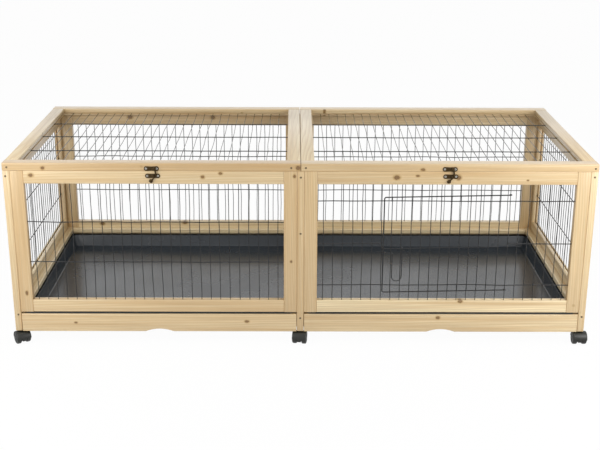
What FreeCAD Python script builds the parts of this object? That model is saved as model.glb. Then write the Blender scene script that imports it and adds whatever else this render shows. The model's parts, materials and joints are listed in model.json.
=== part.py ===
"""Guinea pig run: timber frame with wire mesh, two lids, two pull-out trays, a wire door and castors.

Frame: origin on the floor under the middle, +X to the right, -Y to the front, +Z up, in millimetres.
"""
import FreeCAD, Part
import math
import os
import Sketcher

SIZES = {
    # Overall
    "run_width": 1500,
    "run_depth": 646,
    "frame_height": 438,
    "lid_thick": 20,
    # Timber
    "board": 18,
    "batten": 34,
    "edge": 1.5,
    "end_board": 100,
    "back_board": 93,
    "drawer_board": 50,
    "drawer_drop": 2,
    "drawer_gap": 6,
    "drawer_side_gap": 1,
    "butt_gap": 0.2,
    "lid_gap": 1.5,
    # Ledges over the tray edges and runners under them
    "ledge_width": 18,
    "ledge_thick": 14,
    "ledge_gap": 9,
    "runner_clear": 3,
    "runner_height": 44,
    # Welded mesh and the grooves that hold it
    "wire": 2,
    "mesh_pitch": 25,
    "groove_width": 4,
    "groove_depth": 8,
    "wire_seat": 6,
    "mesh_inset": 6.5,
    "lid_mesh_inset": 15,
    "front_cross_pitch": 109,
    "back_cross_pitch": 108,
    "door_cross_pitch": 114.5,
    "door_cross_shift": -2,
    "end_cross_pitch": 114.5,
    "end_cross_shift": -8,
    "lid_cross_pitch": 150,
    # Drawer front notch and tray
    "notch_width": 76,
    "notch_height": 8,
    "tray_side_gap": 4,
    "tray_back_gap": 1,
    "tray_flange": 14,
    "tray_lip_inset": 1.5,
    "tray_wall": 2,
    "tray_depth": 34,
    "tray_draft": 10,
    "tray_corner": 16,
    "slide_gap": 0.2,
    # Wire door in the right front mesh
    "door_bays": 13,
    "door_wire": 3,
    "door_overlap": 15,
    "door_lap": 5,
    "door_bend": 8,
    "door_rise": 2.5,
    "door_droop": 6.5,
    "door_mid_drop": 9,
    "eye_gap": 0.1,
    "eye_turn": 220,
    # Sliding latch of the door
    "latch_wire": 2.4,
    "latch_gap": 0.3,
    "latch_eye": 3.4,
    "latch_width": 25,
    "latch_drop": 89,
    "latch_tongue": 12,
    "latch_room": 2.3,
    "latch_hold": 8.5,
    "latch_bend": 2.6,
    # Lid hook, its plates and stud
    "plate_width": 38,
    "plate_height": 12.3,
    "plate_thick": 1.2,
    "plate_corner": 3.5,
    "hook_plate_rise": 6.7,
    "catch_plate_shift": 2.5,
    "pivot_shift": 7.5,
    "pivot_radius": 1.6,
    "pivot_gap": 0.06,
    "rivet_radius": 3,
    "rivet_thick": 1,
    "hook_eye": 4,
    "hook_wire": 4,
    "hook_gap": 0.3,
    "hook_room": 2,
    "hook_shoulder": 8.5,
    "hook_tail_left": 9.4,
    "hook_tail_drop": 12.8,
    "hook_tip": 4,
    "hook_bend": 4,
    "stud_radius": 1.8,
    "stud_left": 3,
    "stud_drop": 19,
    "stud_head": 3.2,
    # Butt hinges behind the lids
    "hinge_width": 38,
    "hinge_spread": 230,
    "leaf_thick": 1.5,
    "leaf_height": 15,
    "leaf_gap": 0.6,
    "knuckle_radius": 3,
    "knuckle_length": 13,
    "knuckle_gap": 0.2,
    "knuckle_stand": 0.2,
    "pin_radius": 1.5,
    "pin_gap": 0.05,
    # Twin-wheel castors
    "wheel_radius": 16,
    "wheel_width": 13,
    "wheel_gap": 0.3,
    "axle_radius": 2.5,
    "axle_gap": 0.05,
    "castor_trail": 9,
    "web_wall": 1.45,
    "web_radius": 9,
    "hood_gap": 1,
    "hood_wall": 2,
    "stem_radius": 4,
    "stem_gap": 0.05,
    "stem_in_post": 25,
    "stem_in_hood": 14,
    "boss_radius": 8,
    "boss_gap": 0.5,
    "castor_room": 3,
    # Turns of the castors about their stems, in degrees
    "corner_turn": 33,
    "centre_turn": -8,
}

# Places worked out from the sizes
HALF_WIDTH = "(size.run_width / 2)"
HALF_DEPTH = "(size.run_depth / 2)"
BASE = "(2 * size.wheel_radius + size.hood_gap + size.hood_wall + size.castor_room)"
LID = f"({BASE} + size.frame_height)"
BAY = f"({HALF_WIDTH} - 1.5 * size.board)"
BAY_X = f"(({HALF_WIDTH} - size.board / 2) / 2)"
PANEL_BOTTOM = f"({BASE} - size.drawer_drop + size.drawer_board + size.drawer_gap)"
PANEL_RUN = f"({BAY} - 2 * size.batten)"
GROOVE_OUT = "(size.board / 2 - size.mesh_inset)"
TOP_RAIL = f"({LID} - size.batten)"
LID_WIDTH = f"({HALF_WIDTH} - size.lid_gap / 2)"
LID_X = f"({HALF_WIDTH} / 2 + size.lid_gap / 4)"
TRAY_RIM = f"({BASE} - size.drawer_drop + size.drawer_board + size.tray_wall)"
LEDGE_Z = f"({TRAY_RIM} + size.ledge_gap + size.ledge_thick / 2)"
CENTRE_BOARD = f"({LEDGE_Z} + size.ledge_thick / 2 - {BASE})"
RUNNER_WIDTH = "(size.tray_side_gap + size.tray_flange - size.tray_wall - size.runner_clear)"
HALF_WIRE = "(size.wire / 2)"
CASTOR_X = f"({HALF_WIDTH} - size.board / 2)"
CASTOR_Y = f"({HALF_DEPTH} - size.batten / 2)"

MESH_SIDES = 4
BENT_SIDES = 6
WHEEL_SIDES = 20
ROUND_SIDES = 8
HOOD_STEPS = 8
BEND_STEP = 30
PLANES = {"X": "YZ_Plane", "Y": "XZ_Plane", "Z": "XY_Plane"}
SIDES = {"left": -1, "right": 1}
TURNS = {("front", "left"): "size.corner_turn", ("back", "right"): "size.corner_turn",
         ("front", "centre"): "size.centre_turn", ("back", "centre"): "size.centre_turn"}

doc = FreeCAD.newDocument("guinea_pig_run")
size = doc.addObject("Spreadsheet::Sheet", "size")
for row, (name, number) in enumerate(SIZES.items(), 1):
    size.set(f"A{row}", name)
    size.set(f"B{row}", str(number))
    size.setAlias(f"B{row}", name)
doc.recompute()
nodes = []


def value(formula):
    """The number that a formula of the sheet gives."""
    return float(size.evalExpression(formula))


def place(item, x="0", y="0", z="0"):
    """Tie an item's place to the sheet."""
    for axis, formula in zip("xyz", (x, y, z)):
        item.setExpression(f"Placement.Base.{axis}", formula)


def new_body(label, x="0", y="0", z="0", is_node=True):
    """A body for one piece, or for a group of like pieces."""
    body = doc.addObject("PartDesign::Body", label)
    body.Label = label
    place(body, x, y, z)
    if is_node:
        nodes.append(body)
    return body


def origin(body, role):
    """One of the body's own planes or axes."""
    return next(item for item in body.Origin.OriginFeatures if item.Role == role)


def sketch_on(body, axis, lift="0"):
    """A sketch square to an axis of the body, at a height along it."""
    sketch = body.newObject("Sketcher::SketchObject", f"{body.Name}_sketch")
    sketch.AttachmentSupport = (origin(body, PLANES[axis]), [""])
    sketch.MapMode = "FlatFace"
    # The plane square to Y faces the front
    sign = "-" if axis == "Y" else ""
    sketch.setExpression("AttachmentOffset.Base.z", f"{sign}({lift})")
    return sketch


def pin(sketch, geometry, point, x, y):
    """Tie a point of the sketch to the sheet, measured from the sketch's origin."""
    for kind, formula in (("DistanceX", x), ("DistanceY", y)):
        rule = Sketcher.Constraint(kind, -1, 1, geometry, point, value(formula))
        index = sketch.addConstraint(rule)
        sketch.setExpression(f"Constraints[{index}]", formula)


def polygon(sketch, corners):
    """A closed outline whose corners follow the sheet."""
    spots = [FreeCAD.Vector(value(x), value(y), 0) for x, y in corners]
    first = sketch.GeometryCount
    for index, spot in enumerate(spots):
        sketch.addGeometry(Part.LineSegment(spot, spots[(index + 1) % len(spots)]))
    for index, (x, y) in enumerate(corners):
        following = first + (index + 1) % len(spots)
        sketch.addConstraint(Sketcher.Constraint("Coincident", first + index, 2, following, 1))
        pin(sketch, first + index, 1, x, y)
    return sketch


def circle(sketch, x, y, radius):
    """A circle whose centre and radius follow the sheet."""
    middle = FreeCAD.Vector(value(x), value(y), 0)
    index = sketch.addGeometry(Part.Circle(middle, FreeCAD.Vector(0, 0, 1), value(radius)))
    pin(sketch, index, 3, x, y)
    rule = sketch.addConstraint(Sketcher.Constraint("Radius", index, value(radius)))
    sketch.setExpression(f"Constraints[{rule}]", radius)
    return sketch


def rectangle(low_x, low_y, high_x, high_y):
    """Corners of a plain rectangle."""
    return [(low_x, low_y), (high_x, low_y), (high_x, high_y), (low_x, high_y)]


def regular(x, y, radius, sides, turn=0):
    """Corners of a regular polygon."""
    angles = [turn + 360 / sides * index for index in range(sides)]
    return [(f"{x} + {radius} * cos({angle})", f"{y} + {radius} * sin({angle})") for angle in angles]


def round_about(x, y, radius, sides):
    """Corners of a faceted round whose flats lie on a radius, with one flat at the bottom."""
    return regular(x, y, f"({radius}) / cos({180 / sides})", sides, 180 / sides - 90)


def cut_corners(width, height, corner):
    """Corners of a rectangle about the origin with its four corners cut off."""
    x, y = f"{width} / 2", f"{height} / 2"
    return [
        (f"-({x}) + {corner}", f"-({y})"), (f"{x} - {corner}", f"-({y})"),
        (x, f"-({y}) + {corner}"), (x, f"{y} - {corner}"),
        (f"{x} - {corner}", y), (f"-({x}) + {corner}", y),
        (f"-({x})", f"{y} - {corner}"), (f"-({x})", f"-({y}) + {corner}"),
    ]


def section(width, thick, groove=0, groove_at="0"):
    """Corners of a batten's section: eased edges, and a mesh groove on its high or low side."""
    corners = cut_corners(width, thick, "size.edge")
    if groove:
        low, high = f"{groove_at} - size.groove_width / 2", f"{groove_at} + size.groove_width / 2"
        face = f"{groove} * {width} / 2"
        floor = f"{groove} * ({width} / 2 - size.groove_depth)"
        slot = [(face, low), (floor, low), (floor, high), (face, high)]
        at = 3 if groove > 0 else len(corners) - 1
        corners[at:at] = slot if groove > 0 else slot[::-1]
    return corners


def extrude(kind, sketch, length, symmetric=True, reverse=False):
    """Pad or pocket a sketch."""
    body = sketch.getParentGeoFeatureGroup()
    feature = body.newObject(f"PartDesign::{kind}", f"{body.Name}_{kind.lower()}")
    feature.Profile = sketch
    feature.SideType = "Symmetric" if symmetric else "One side"
    feature.Reversed = reverse
    feature.setExpression("Length", length)
    body.Tip = feature
    return feature


def stick(body, axis, length, corners, centre=("0", "0", "0"), turned=False):
    """A straight batten along an axis; turned swaps its width and its thickness."""
    along = "XYZ".index(axis)
    shift = [formula for index, formula in enumerate(centre) if index != along]
    if turned:
        corners = [(y, x) for x, y in corners]
    moved = [(f"{x} + ({shift[0]})", f"{y} + ({shift[1]})") for x, y in corners]
    sketch = polygon(sketch_on(body, axis, centre[along]), moved)
    return extrude("Pad", sketch, length)


def mirror(body, features, axis):
    """Repeat features on the other side of the body's plane square to an axis."""
    pattern = body.newObject("PartDesign::Mirrored", f"{body.Name}_mirror")
    pattern.Originals = features
    pattern.MirrorPlane = (origin(body, PLANES[axis]), [""])
    body.Tip = pattern
    return pattern


def repeat(body, features, axis, count, pitch):
    """Repeat features along one of the body's axes."""
    pattern = body.newObject("PartDesign::LinearPattern", f"{body.Name}_row")
    pattern.Originals = features
    pattern.Direction = (origin(body, f"{axis}_Axis"), [""])
    pattern.Mode = "Spacing"
    pattern.setExpression("Offset", pitch)
    pattern.setExpression("Occurrences", count)
    body.Tip = pattern
    return pattern


def wire_row(label, axis, step, depth, start, count, pitch, length):
    """Parallel mesh wires: one faceted wire, repeated; its flats face the wires that cross it."""
    body = new_body(label, is_node=False)
    along_width = "XYZ".index(step) < "XYZ".index("XYZ".replace(axis, "").replace(step, ""))
    middle = (start, depth) if along_width else (depth, start)
    sketch = polygon(sketch_on(body, axis), round_about(*middle, HALF_WIRE, MESH_SIDES))
    repeat(body, [extrude("Pad", sketch, length)], step, count, pitch)
    return body


def mesh(label, axes, centre, run, rise, crosses, cross_pitch, cross_shift="0", outward=1):
    """A welded panel: close bars along the second axis, outside a few cross wires along the first."""
    across, along = axes
    bars = f"(2 * floor({run} / (2 * size.mesh_pitch)))"
    first_bar = f"(1 - {bars}) / 2 * size.mesh_pitch"
    first_cross = f"(1 - {crosses}) / 2 * {cross_pitch} + {cross_shift}"
    bar_length, cross_length = f"{rise} + 2 * size.wire_seat", f"{run} + 2 * size.wire_seat"
    layers = [
        wire_row(f"{label}_bars", along, across, f"{outward} * {HALF_WIRE}", first_bar, bars,
                 "size.mesh_pitch", bar_length),
        wire_row(f"{label}_cross", across, along, f"-{outward} * {HALF_WIRE}", first_cross, str(crosses),
                 cross_pitch, cross_length),
    ]
    welded = doc.addObject("Part::Compound", label)
    welded.Label = label
    welded.Links = layers
    place(welded, *centre)
    nodes.append(welded)
    return welded


def end_frame(name, side):
    """An end frame: two posts, a top rail, a deep base board and the mesh between them."""
    x = f"{side} * ({HALF_WIDTH} - size.board / 2)"
    groove_at = f"{side} * {GROOVE_OUT}"
    posts = new_body(f"{name}_end_posts", x)
    middle = ("0", f"-({HALF_DEPTH}) + size.batten / 2", f"{BASE} + size.frame_height / 2")
    grooved = section("size.batten", "size.board", 1, groove_at)
    front = stick(posts, "Z", "size.frame_height", grooved, middle, True)
    mirror(posts, [front], "Y")
    stem_holes(posts)
    length = "(size.run_depth - 2 * size.batten)"
    rails = new_body(f"{name}_end_rails", x)
    top = section("size.batten", "size.board", -1, groove_at)
    stick(rails, "Y", length, top, ("0", "0", f"{LID} - size.batten / 2"), True)
    base = section("size.end_board", "size.board", 1, groove_at)
    stick(rails, "Y", length, base, ("0", "0", f"{BASE} + size.end_board / 2"), True)
    rise = f"({TOP_RAIL} - {BASE} - size.end_board)"
    centre = (f"{x} + {groove_at}", "0", f"{BASE} + size.end_board + {rise} / 2")
    mesh(f"{name}_end_mesh", "YZ", centre, length, rise, 2,
         "size.end_cross_pitch", "size.end_cross_shift", side)


def stem_holes(posts):
    """Blind holes in the feet of a front and a back post, for the castor stems."""
    sketch = sketch_on(posts, "Z", BASE)
    for sign in "-+":
        polygon(sketch, round_about("0", f"{sign}({CASTOR_Y})", "size.stem_radius", ROUND_SIDES))
    extrude("Pocket", sketch, "size.stem_in_post", symmetric=False, reverse=True)


def centre_frame():
    """The frame between the two bays: posts, a top rail and a low base rail, open between them."""
    posts = new_body("centre_posts")
    middle = ("0", f"-({HALF_DEPTH}) + size.batten / 2", f"{BASE} + size.frame_height / 2")
    front = stick(posts, "Z", "size.frame_height", section("size.batten", "size.board"), middle, True)
    mirror(posts, [front], "Y")
    stem_holes(posts)
    rails = new_body("centre_rails")
    length = "(size.run_depth - 2 * size.batten)"
    top = section("size.batten", "size.board")
    stick(rails, "Y", length, top, ("0", "0", f"{LID} - size.batten / 2"), True)
    base = section(CENTRE_BOARD, "size.board")
    stick(rails, "Y", length, base, ("0", "0", f"{BASE} + {CENTRE_BOARD} / 2"), True)


def panel(name, side, outward, bottom, low_board, crosses, cross_pitch, cross_shift="0"):
    """A front or back panel of one bay: two stiles, a top rail, a low rail and the mesh."""
    x = f"{side} * {BAY_X}"
    y = f"{outward} * ({HALF_DEPTH} - size.board / 2)"
    groove_at = f"{outward} * {GROOVE_OUT}"
    stiles = new_body(f"{name}_stiles", x, y)
    height = f"({LID} - {bottom})"
    middle = (f"-({BAY} - size.batten) / 2", "0", f"{bottom} + {height} / 2")
    stile = stick(stiles, "Z", height, section("size.batten", "size.board", 1, groove_at), middle)
    mirror(stiles, [stile], "X")
    rails = new_body(f"{name}_rails", x, y)
    top = section("size.batten", "size.board", -1, groove_at)
    stick(rails, "X", PANEL_RUN, top, ("0", "0", f"{LID} - size.batten / 2"), True)
    low = section(low_board, "size.board", 1, groove_at)
    stick(rails, "X", PANEL_RUN, low, ("0", "0", f"{bottom} + {low_board} / 2"), True)
    rise = f"({TOP_RAIL} - {bottom} - {low_board})"
    centre = (x, f"{y} + {groove_at}", f"{TOP_RAIL} - {rise} / 2")
    return mesh(f"{name}_mesh", "XZ", centre, PANEL_RUN, rise, crosses, cross_pitch, cross_shift, outward)


def door_opening(welded):
    """Cut the door's opening through a mesh, and put a round bar for its hinge in place of a square one."""
    edge = "(size.door_bays * size.mesh_pitch / 2)"
    half = f"({edge} - {HALF_WIRE})"
    reach = f"(size.door_cross_pitch - {HALF_WIRE})"
    opening = rectangle(f"-({half})", f"size.door_cross_shift - {reach}",
                        half, f"size.door_cross_shift + {reach}")
    layers = welded.Links
    for layer in layers:
        extrude("Pocket", polygon(sketch_on(layer, "Y"), opening), "4 * size.wire")
    old_bar = rectangle(f"{edge} - size.wire", f"-({DOOR_RISE})", f"{edge} + size.wire", DOOR_RISE)
    extrude("Pocket", polygon(sketch_on(layers[0], "Y"), old_bar), "4 * size.wire")
    hinge_bar = new_body(f"{welded.Name}_hinge_bar", is_node=False)
    rod = circle(sketch_on(hinge_bar, "Z"), edge, f"-{HALF_WIRE}", HALF_WIRE)
    extrude("Pad", rod, f"{DOOR_RISE} + 2 * size.wire_seat")
    welded.Links = layers + [hinge_bar]


def ledges():
    """Battens inside each bay, over the tray's edges, and the runners that carry the tray's flange."""
    length = "(size.run_depth - 2 * size.board)"
    post_face = f"({HALF_WIDTH} - size.board)"
    body = new_body("tray_ledges")
    plain = section("size.ledge_width", "size.ledge_thick")
    outer = stick(body, "Y", length, plain, (f"{post_face} - size.ledge_width / 2", "0", LEDGE_Z))
    inner = stick(body, "Y", length, plain, ("size.board / 2 + size.ledge_width / 2", "0", LEDGE_Z))
    back_y = f"{HALF_DEPTH} - size.board - size.ledge_width / 2"
    back_length = f"{BAY} - 2 * size.ledge_width - 2 * size.butt_gap"
    back = stick(body, "X", back_length, plain, (BAY_X, back_y, LEDGE_Z))
    mirror(body, [outer, inner, back], "X")
    body = new_body("tray_runners")
    plain = section(RUNNER_WIDTH, "size.runner_height")
    z = f"{TRAY_RIM} - size.tray_wall - size.slide_gap - size.runner_height / 2"
    outer = stick(body, "Y", length, plain, (f"{post_face} - {RUNNER_WIDTH} / 2", "0", z))
    inner = stick(body, "Y", length, plain, (f"size.board / 2 + {RUNNER_WIDTH} / 2", "0", z))
    mirror(body, [outer, inner], "X")


def lid(name, side):
    """A lid: front and back rails over the full width, two stiles between them, and the mesh."""
    x = f"{side} * {LID_X}"
    z = f"{LID} + size.lid_thick / 2"
    groove_at = "(size.lid_thick / 2 - size.lid_mesh_inset)"
    rails = new_body(f"{name}_lid_rails", x, "0", z)
    grooved = section("size.batten", "size.lid_thick", 1, groove_at)
    rail = stick(rails, "X", LID_WIDTH, grooved, ("0", f"-({HALF_DEPTH}) + size.batten / 2", "0"))
    mirror(rails, [rail], "Y")
    rise = "(size.run_depth - 2 * size.batten)"
    run = f"({LID_WIDTH} - 2 * size.batten)"
    stiles = new_body(f"{name}_lid_stiles", x, "0", z)
    stile = stick(stiles, "Y", rise, grooved, (f"-({LID_WIDTH} - size.batten) / 2", "0", "0"))
    mirror(stiles, [stile], "X")
    mesh(f"{name}_lid_mesh", "XY", (x, "0", f"{z} + {groove_at}"), run, rise, 3,
         "size.lid_cross_pitch", outward=-1)


def hinges(name, side):
    """Two butt hinges behind a lid: leaves on the back rail, leaves on the lid and their pins."""
    x = f"{side} * {HALF_WIDTH} / 2"
    axis_y = "(size.knuckle_radius + size.knuckle_stand)"
    barrel = regular(axis_y, "0", "size.knuckle_radius", ROUND_SIDES, 180 / ROUND_SIDES)
    middle_gap = "(size.knuckle_length + 2 * size.knuckle_gap)"
    for label, up, knuckle, gap in (
        (f"{name}_hinge_fixed_leaves", -1, "size.hinge_width", "size.pin_gap / 2"),
        (f"{name}_lid_hinge_leaves", 1, "size.knuckle_length", "size.pin_gap"),
    ):
        body = new_body(label, f"{x} - size.hinge_spread", HALF_DEPTH, LID)
        clear = "(size.knuckle_radius + size.leaf_gap)"
        near, far = f"{up} * {clear}", f"{up} * ({clear} + size.leaf_height)"
        plate = rectangle("0", near, "size.leaf_thick", far)
        web = rectangle("0", "0", "size.leaf_thick", near)
        bore = round_about(axis_y, "0", f"size.pin_radius + {gap}", ROUND_SIDES)
        features = [
            extrude("Pad", polygon(sketch_on(body, "X"), plate), "size.hinge_width"),
            extrude("Pad", polygon(sketch_on(body, "X"), web), knuckle),
            extrude("Pad", polygon(sketch_on(body, "X"), barrel), knuckle),
            extrude("Pocket", polygon(sketch_on(body, "X"), bore), "2 * size.hinge_width"),
        ]
        if up < 0:
            reach = "(4 * size.knuckle_radius)"
            gate = rectangle(f"-{reach}", near, reach, reach)
            features.append(extrude("Pocket", polygon(sketch_on(body, "X"), gate), middle_gap))
        repeat(body, features, "X", "2", "2 * size.hinge_spread")
    pins = new_body(f"{name}_hinge_pins", f"{x} - size.hinge_spread", HALF_DEPTH, LID)
    rod = circle(sketch_on(pins, "X"), axis_y, "0", "size.pin_radius")
    pad = extrude("Pad", rod, "size.hinge_width")
    repeat(pins, [pad], "X", "2", "2 * size.hinge_spread")


def latch_plate(body, x, z):
    """A small plate on the front, with cut corners."""
    outline = [(f"{x} + {u}", f"{z} + {v}") for u, v in
               cut_corners("size.plate_width", "size.plate_height", "size.plate_corner")]
    sketch = polygon(sketch_on(body, "Y"), outline)
    return extrude("Pad", sketch, "size.plate_thick", symmetric=False)


def headed_pin(body, x, z, radius, length, head, head_thick, is_pivot):
    """A pin that stands out of a plate, with a head; its shank is truly round where a hook turns on it."""
    shank = sketch_on(body, "Y", "-size.plate_thick")
    if is_pivot:
        circle(shank, x, z, radius)
    else:
        polygon(shank, regular(x, z, radius, ROUND_SIDES))
    cap = polygon(sketch_on(body, "Y", f"-(size.plate_thick + {length})"), regular(x, z, head, ROUND_SIDES))
    return [extrude("Pad", shank, length, symmetric=False), extrude("Pad", cap, head_thick, symmetric=False)]


HOOK_SLOT = "(size.hook_wire + 2 * size.hook_gap)"
HOOK_Z = f"({LID} + size.hook_plate_rise)"


def catch_plates():
    """Plates on the front top rails, each with the stud that a hook goes round."""
    body = new_body("catch_plates", "0", f"-({HALF_DEPTH})")
    x, z = f"-({HALF_WIDTH} / 2)", f"({HOOK_Z} - size.stud_drop)"
    features = [latch_plate(body, f"{x} + size.catch_plate_shift", z)]
    features += headed_pin(body, f"{x} + size.pivot_shift - size.stud_left", z, "size.stud_radius",
                           HOOK_SLOT, "size.stud_head", "size.rivet_thick", False)
    repeat(body, features, "X", "2", HALF_WIDTH)


def lid_hook(name, side):
    """A hook plate with its rivet on the lid's front rail, and the swinging hook on it."""
    x = f"{side} * {HALF_WIDTH} / 2"
    plate = new_body(f"{name}_hook_plate", x, f"-({HALF_DEPTH})", HOOK_Z)
    latch_plate(plate, "0", "0")
    headed_pin(plate, "size.pivot_shift", "0", "size.pivot_radius",
               HOOK_SLOT, "size.rivet_radius", "size.rivet_thick", True)
    right = "(size.stud_radius + size.hook_wire / 2 + size.hook_room - size.stud_left)"
    spots = [("0", "0"), (right, "-size.hook_shoulder"), (right, "-size.stud_drop"),
             ("-size.hook_tail_left", "-(size.stud_drop + size.hook_tail_drop)")]
    path = [FreeCAD.Vector(value(u), 0, value(v)) for u, v in spots]
    thick = value("size.hook_wire")
    arm = bent_wire(rounded(path, value("size.hook_bend")), thick / 2)
    forward = FreeCAD.Vector(0, 1, 0)
    back = FreeCAD.Vector(0, -thick / 2, 0)
    eye = prism(path[0] + back, forward, value("size.hook_eye"), thick, ROUND_SIDES)
    tip = prism(path[-1] + back, forward, value("size.hook_tip"), thick, ROUND_SIDES)
    flats = value(f"(size.pivot_radius + size.pivot_gap) / cos({180 / ROUND_SIDES})")
    bore = prism(path[0] + back * 2, forward, flats, thick * 2, ROUND_SIDES)
    hook = doc.addObject("Part::Feature", f"{name}_hook")
    hook.Label = f"{name}_hook"
    hook.Shape = arm.fuse([eye, tip]).cut(bore).removeSplitter()
    y = f"-({HALF_DEPTH}) - size.plate_thick - {HOOK_SLOT} / 2"
    place(hook, f"{x} + size.pivot_shift", y, HOOK_Z)
    nodes.append(hook)


def prism(base, direction, radius, length, sides):
    """A straight faceted rod from a point along a direction."""
    outline = outline_square_to(base, direction, radius, sides)
    return Part.Face(outline).extrude(FreeCAD.Vector(direction).normalize() * length)


def outline_square_to(base, direction, radius, sides):
    """A regular polygon about a point, square to a direction."""
    turn = FreeCAD.Rotation(FreeCAD.Vector(0, 0, 1), direction)
    angles = [2 * math.pi * index / sides for index in range(sides)]
    spots = [FreeCAD.Vector(radius * math.cos(angle), radius * math.sin(angle), 0) for angle in angles]
    corners = [base + turn.multVec(spot) for spot in spots]
    return Part.makePolygon(corners + corners[:1])


def bend_points(middle, first, quarter, turn):
    """Corners of the short runs round a bend; first and quarter are its radius, a quarter turn apart."""
    steps = max(1, round(math.degrees(turn) / BEND_STEP))
    half = turn / steps / 2
    angles = [half * (2 * step + 1) for step in range(steps)]
    spokes = [first * math.cos(angle) + quarter * math.sin(angle) for angle in angles]
    return [middle + spoke / math.cos(half) for spoke in spokes]


def rounded(points, bend):
    """Points along a bent wire: straight runs, with each corner between them rounded."""
    spots = points[:1]
    for before, corner, after in zip(points, points[1:], points[2:]):
        back = (before - corner).normalize()
        onward = (after - corner).normalize()
        half_turn = back.getAngle(onward) / 2
        middle = corner + (back + onward).normalize() * (bend / math.sin(half_turn))
        first = corner + back * (bend / math.tan(half_turn)) - middle
        spots += bend_points(middle, first, back * -bend, math.pi - 2 * half_turn)
    return spots + points[-1:]


def curl(middle, first, quarter, turn):
    """Points of an eye about a middle point, from first towards quarter and on to its free end."""
    free_end = middle + first * math.cos(turn) + quarter * math.sin(turn)
    return bend_points(middle, first, quarter, turn) + [free_end]


def bent_wire(points, radius):
    """A faceted wire along points, mitred at each."""
    path = Part.makePolygon(points)
    outline = outline_square_to(points[0], points[1] - points[0], radius, BENT_SIDES)
    return path.makePipeShell([outline], True, False, 1)


DOOR_RISE = f"({TOP_RAIL} - {PANEL_BOTTOM} - size.batten)"
DOOR_MIDDLE_Z = f"({TOP_RAIL} - {DOOR_RISE} / 2 + size.door_cross_shift)"
HINGE_BAR_X = f"({BAY_X} + size.door_bays * size.mesh_pitch / 2)"
HINGE_BAR_Y = f"(-({HALF_DEPTH}) + size.mesh_inset - {HALF_WIRE})"
CATCH_BAR_X = f"({HINGE_BAR_X} - size.door_bays * size.mesh_pitch)"
DOOR_LEFT = f"({CATCH_BAR_X} + size.door_lap)"
EYE_RADIUS = "(size.wire / 2 + size.eye_gap + size.door_wire / 2)"


def droop(x):
    """How far the door has dropped at a place along its width; its free end hangs lowest."""
    hinge_x, left = value(HINGE_BAR_X), value(DOOR_LEFT)
    return value("size.door_droop") * (hinge_x - x) / (hinge_x - left)


def wire_door():
    """The door: one frame wire with an eye curled round the hinge bar at each end, bars and a middle wire."""
    hinge_x, hinge_y, eye = value(HINGE_BAR_X), value(HINGE_BAR_Y), value(EYE_RADIUS)
    left, bend, thin = value(DOOR_LEFT), value("size.door_bend"), value("size.wire / 2")
    reach = value("size.door_cross_pitch + size.door_overlap")
    middle = value(f"{DOOR_MIDDLE_Z} + size.door_rise")
    y = hinge_y - eye
    forward, right = FreeCAD.Vector(0, -eye, 0), FreeCAD.Vector(eye, 0, 0)
    turn = math.radians(value("size.eye_turn"))
    top_eye, low_eye = (curl(FreeCAD.Vector(hinge_x, hinge_y, z), forward, right, turn)
                        for z in (middle + reach, middle - reach))

    def spot(x, rise):
        return FreeCAD.Vector(x, y, middle + rise - droop(x))

    def at_hinge(x, rise):
        return FreeCAD.Vector(x, y, middle + rise)

    corners = [at_hinge(hinge_x, reach), at_hinge(hinge_x - bend, reach), spot(left, reach),
               spot(left, -reach), at_hinge(hinge_x - bend, -reach), at_hinge(hinge_x, -reach)]
    run = rounded(corners, bend)[1:-1]
    frame = bent_wire(top_eye[::-1] + run + low_eye, value("size.door_wire / 2"))
    pitch = value("size.mesh_pitch")
    places = [hinge_x - pitch * count for count in range(1, round(value("size.door_bays")))]
    up = FreeCAD.Vector(0, 0, 1)
    bars = [prism(spot(x, -reach), up, thin, 2 * reach, BENT_SIDES) for x in places]
    low, high = spot(left, -value("size.door_mid_drop")), spot(places[0], -value("size.door_mid_drop"))
    across = prism(low, high - low, thin, (high - low).Length, BENT_SIDES)
    door = doc.addObject("Part::Feature", "wire_door")
    door.Label = "wire_door"
    door.Shape = frame.fuse(bars + [across]).removeSplitter()
    nodes.append(door)


def door_latch():
    """The latch: one bent wire with an eye on the door's middle wire, a pull loop and a tongue."""
    door_y = value(f"{HINGE_BAR_Y} - {EYE_RADIUS}")
    eye = value("size.wire / 2 + size.latch_gap + size.latch_wire / 2")
    front = door_y - eye
    behind = value(f"-({HALF_DEPTH}) + size.mesh_inset + size.latch_gap + size.latch_wire / 2")
    right = value(f"{CATCH_BAR_X} + 2 * size.mesh_pitch + size.latch_eye")
    left = right - value("size.latch_width")
    mid = value(f"{DOOR_MIDDLE_Z} + size.door_rise - size.door_mid_drop") - droop(right)
    low, tongue = mid - value("size.latch_drop"), mid - value("size.latch_tongue")
    cross = value(f"{DOOR_LEFT} + size.door_wire / 2 + size.latch_room + size.latch_wire / 2")
    tip = value(f"{CATCH_BAR_X} - size.latch_hold")
    bow = value("size.latch_width / 2")
    back_down = FreeCAD.Vector(0, -eye, 0), FreeCAD.Vector(0, 0, eye)
    loop = curl(FreeCAD.Vector(right, door_y, mid), *back_down, math.radians(value("size.eye_turn")))
    across, down = FreeCAD.Vector(bow, 0, 0), FreeCAD.Vector(0, 0, -bow)
    pull = bend_points(FreeCAD.Vector(left + bow, front, low + bow), across, down, math.pi)
    rest = [pull[-1], FreeCAD.Vector(left, front, tongue),
            FreeCAD.Vector(cross, front, tongue), FreeCAD.Vector(cross, behind, tongue),
            FreeCAD.Vector(tip, behind, tongue)]
    points = loop[::-1] + pull[:-1] + rounded(rest, value("size.latch_bend"))
    latch = doc.addObject("Part::Feature", "door_latch")
    latch.Label = "door_latch"
    latch.Shape = bent_wire(points, value("size.latch_wire / 2"))
    nodes.append(latch)


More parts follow.
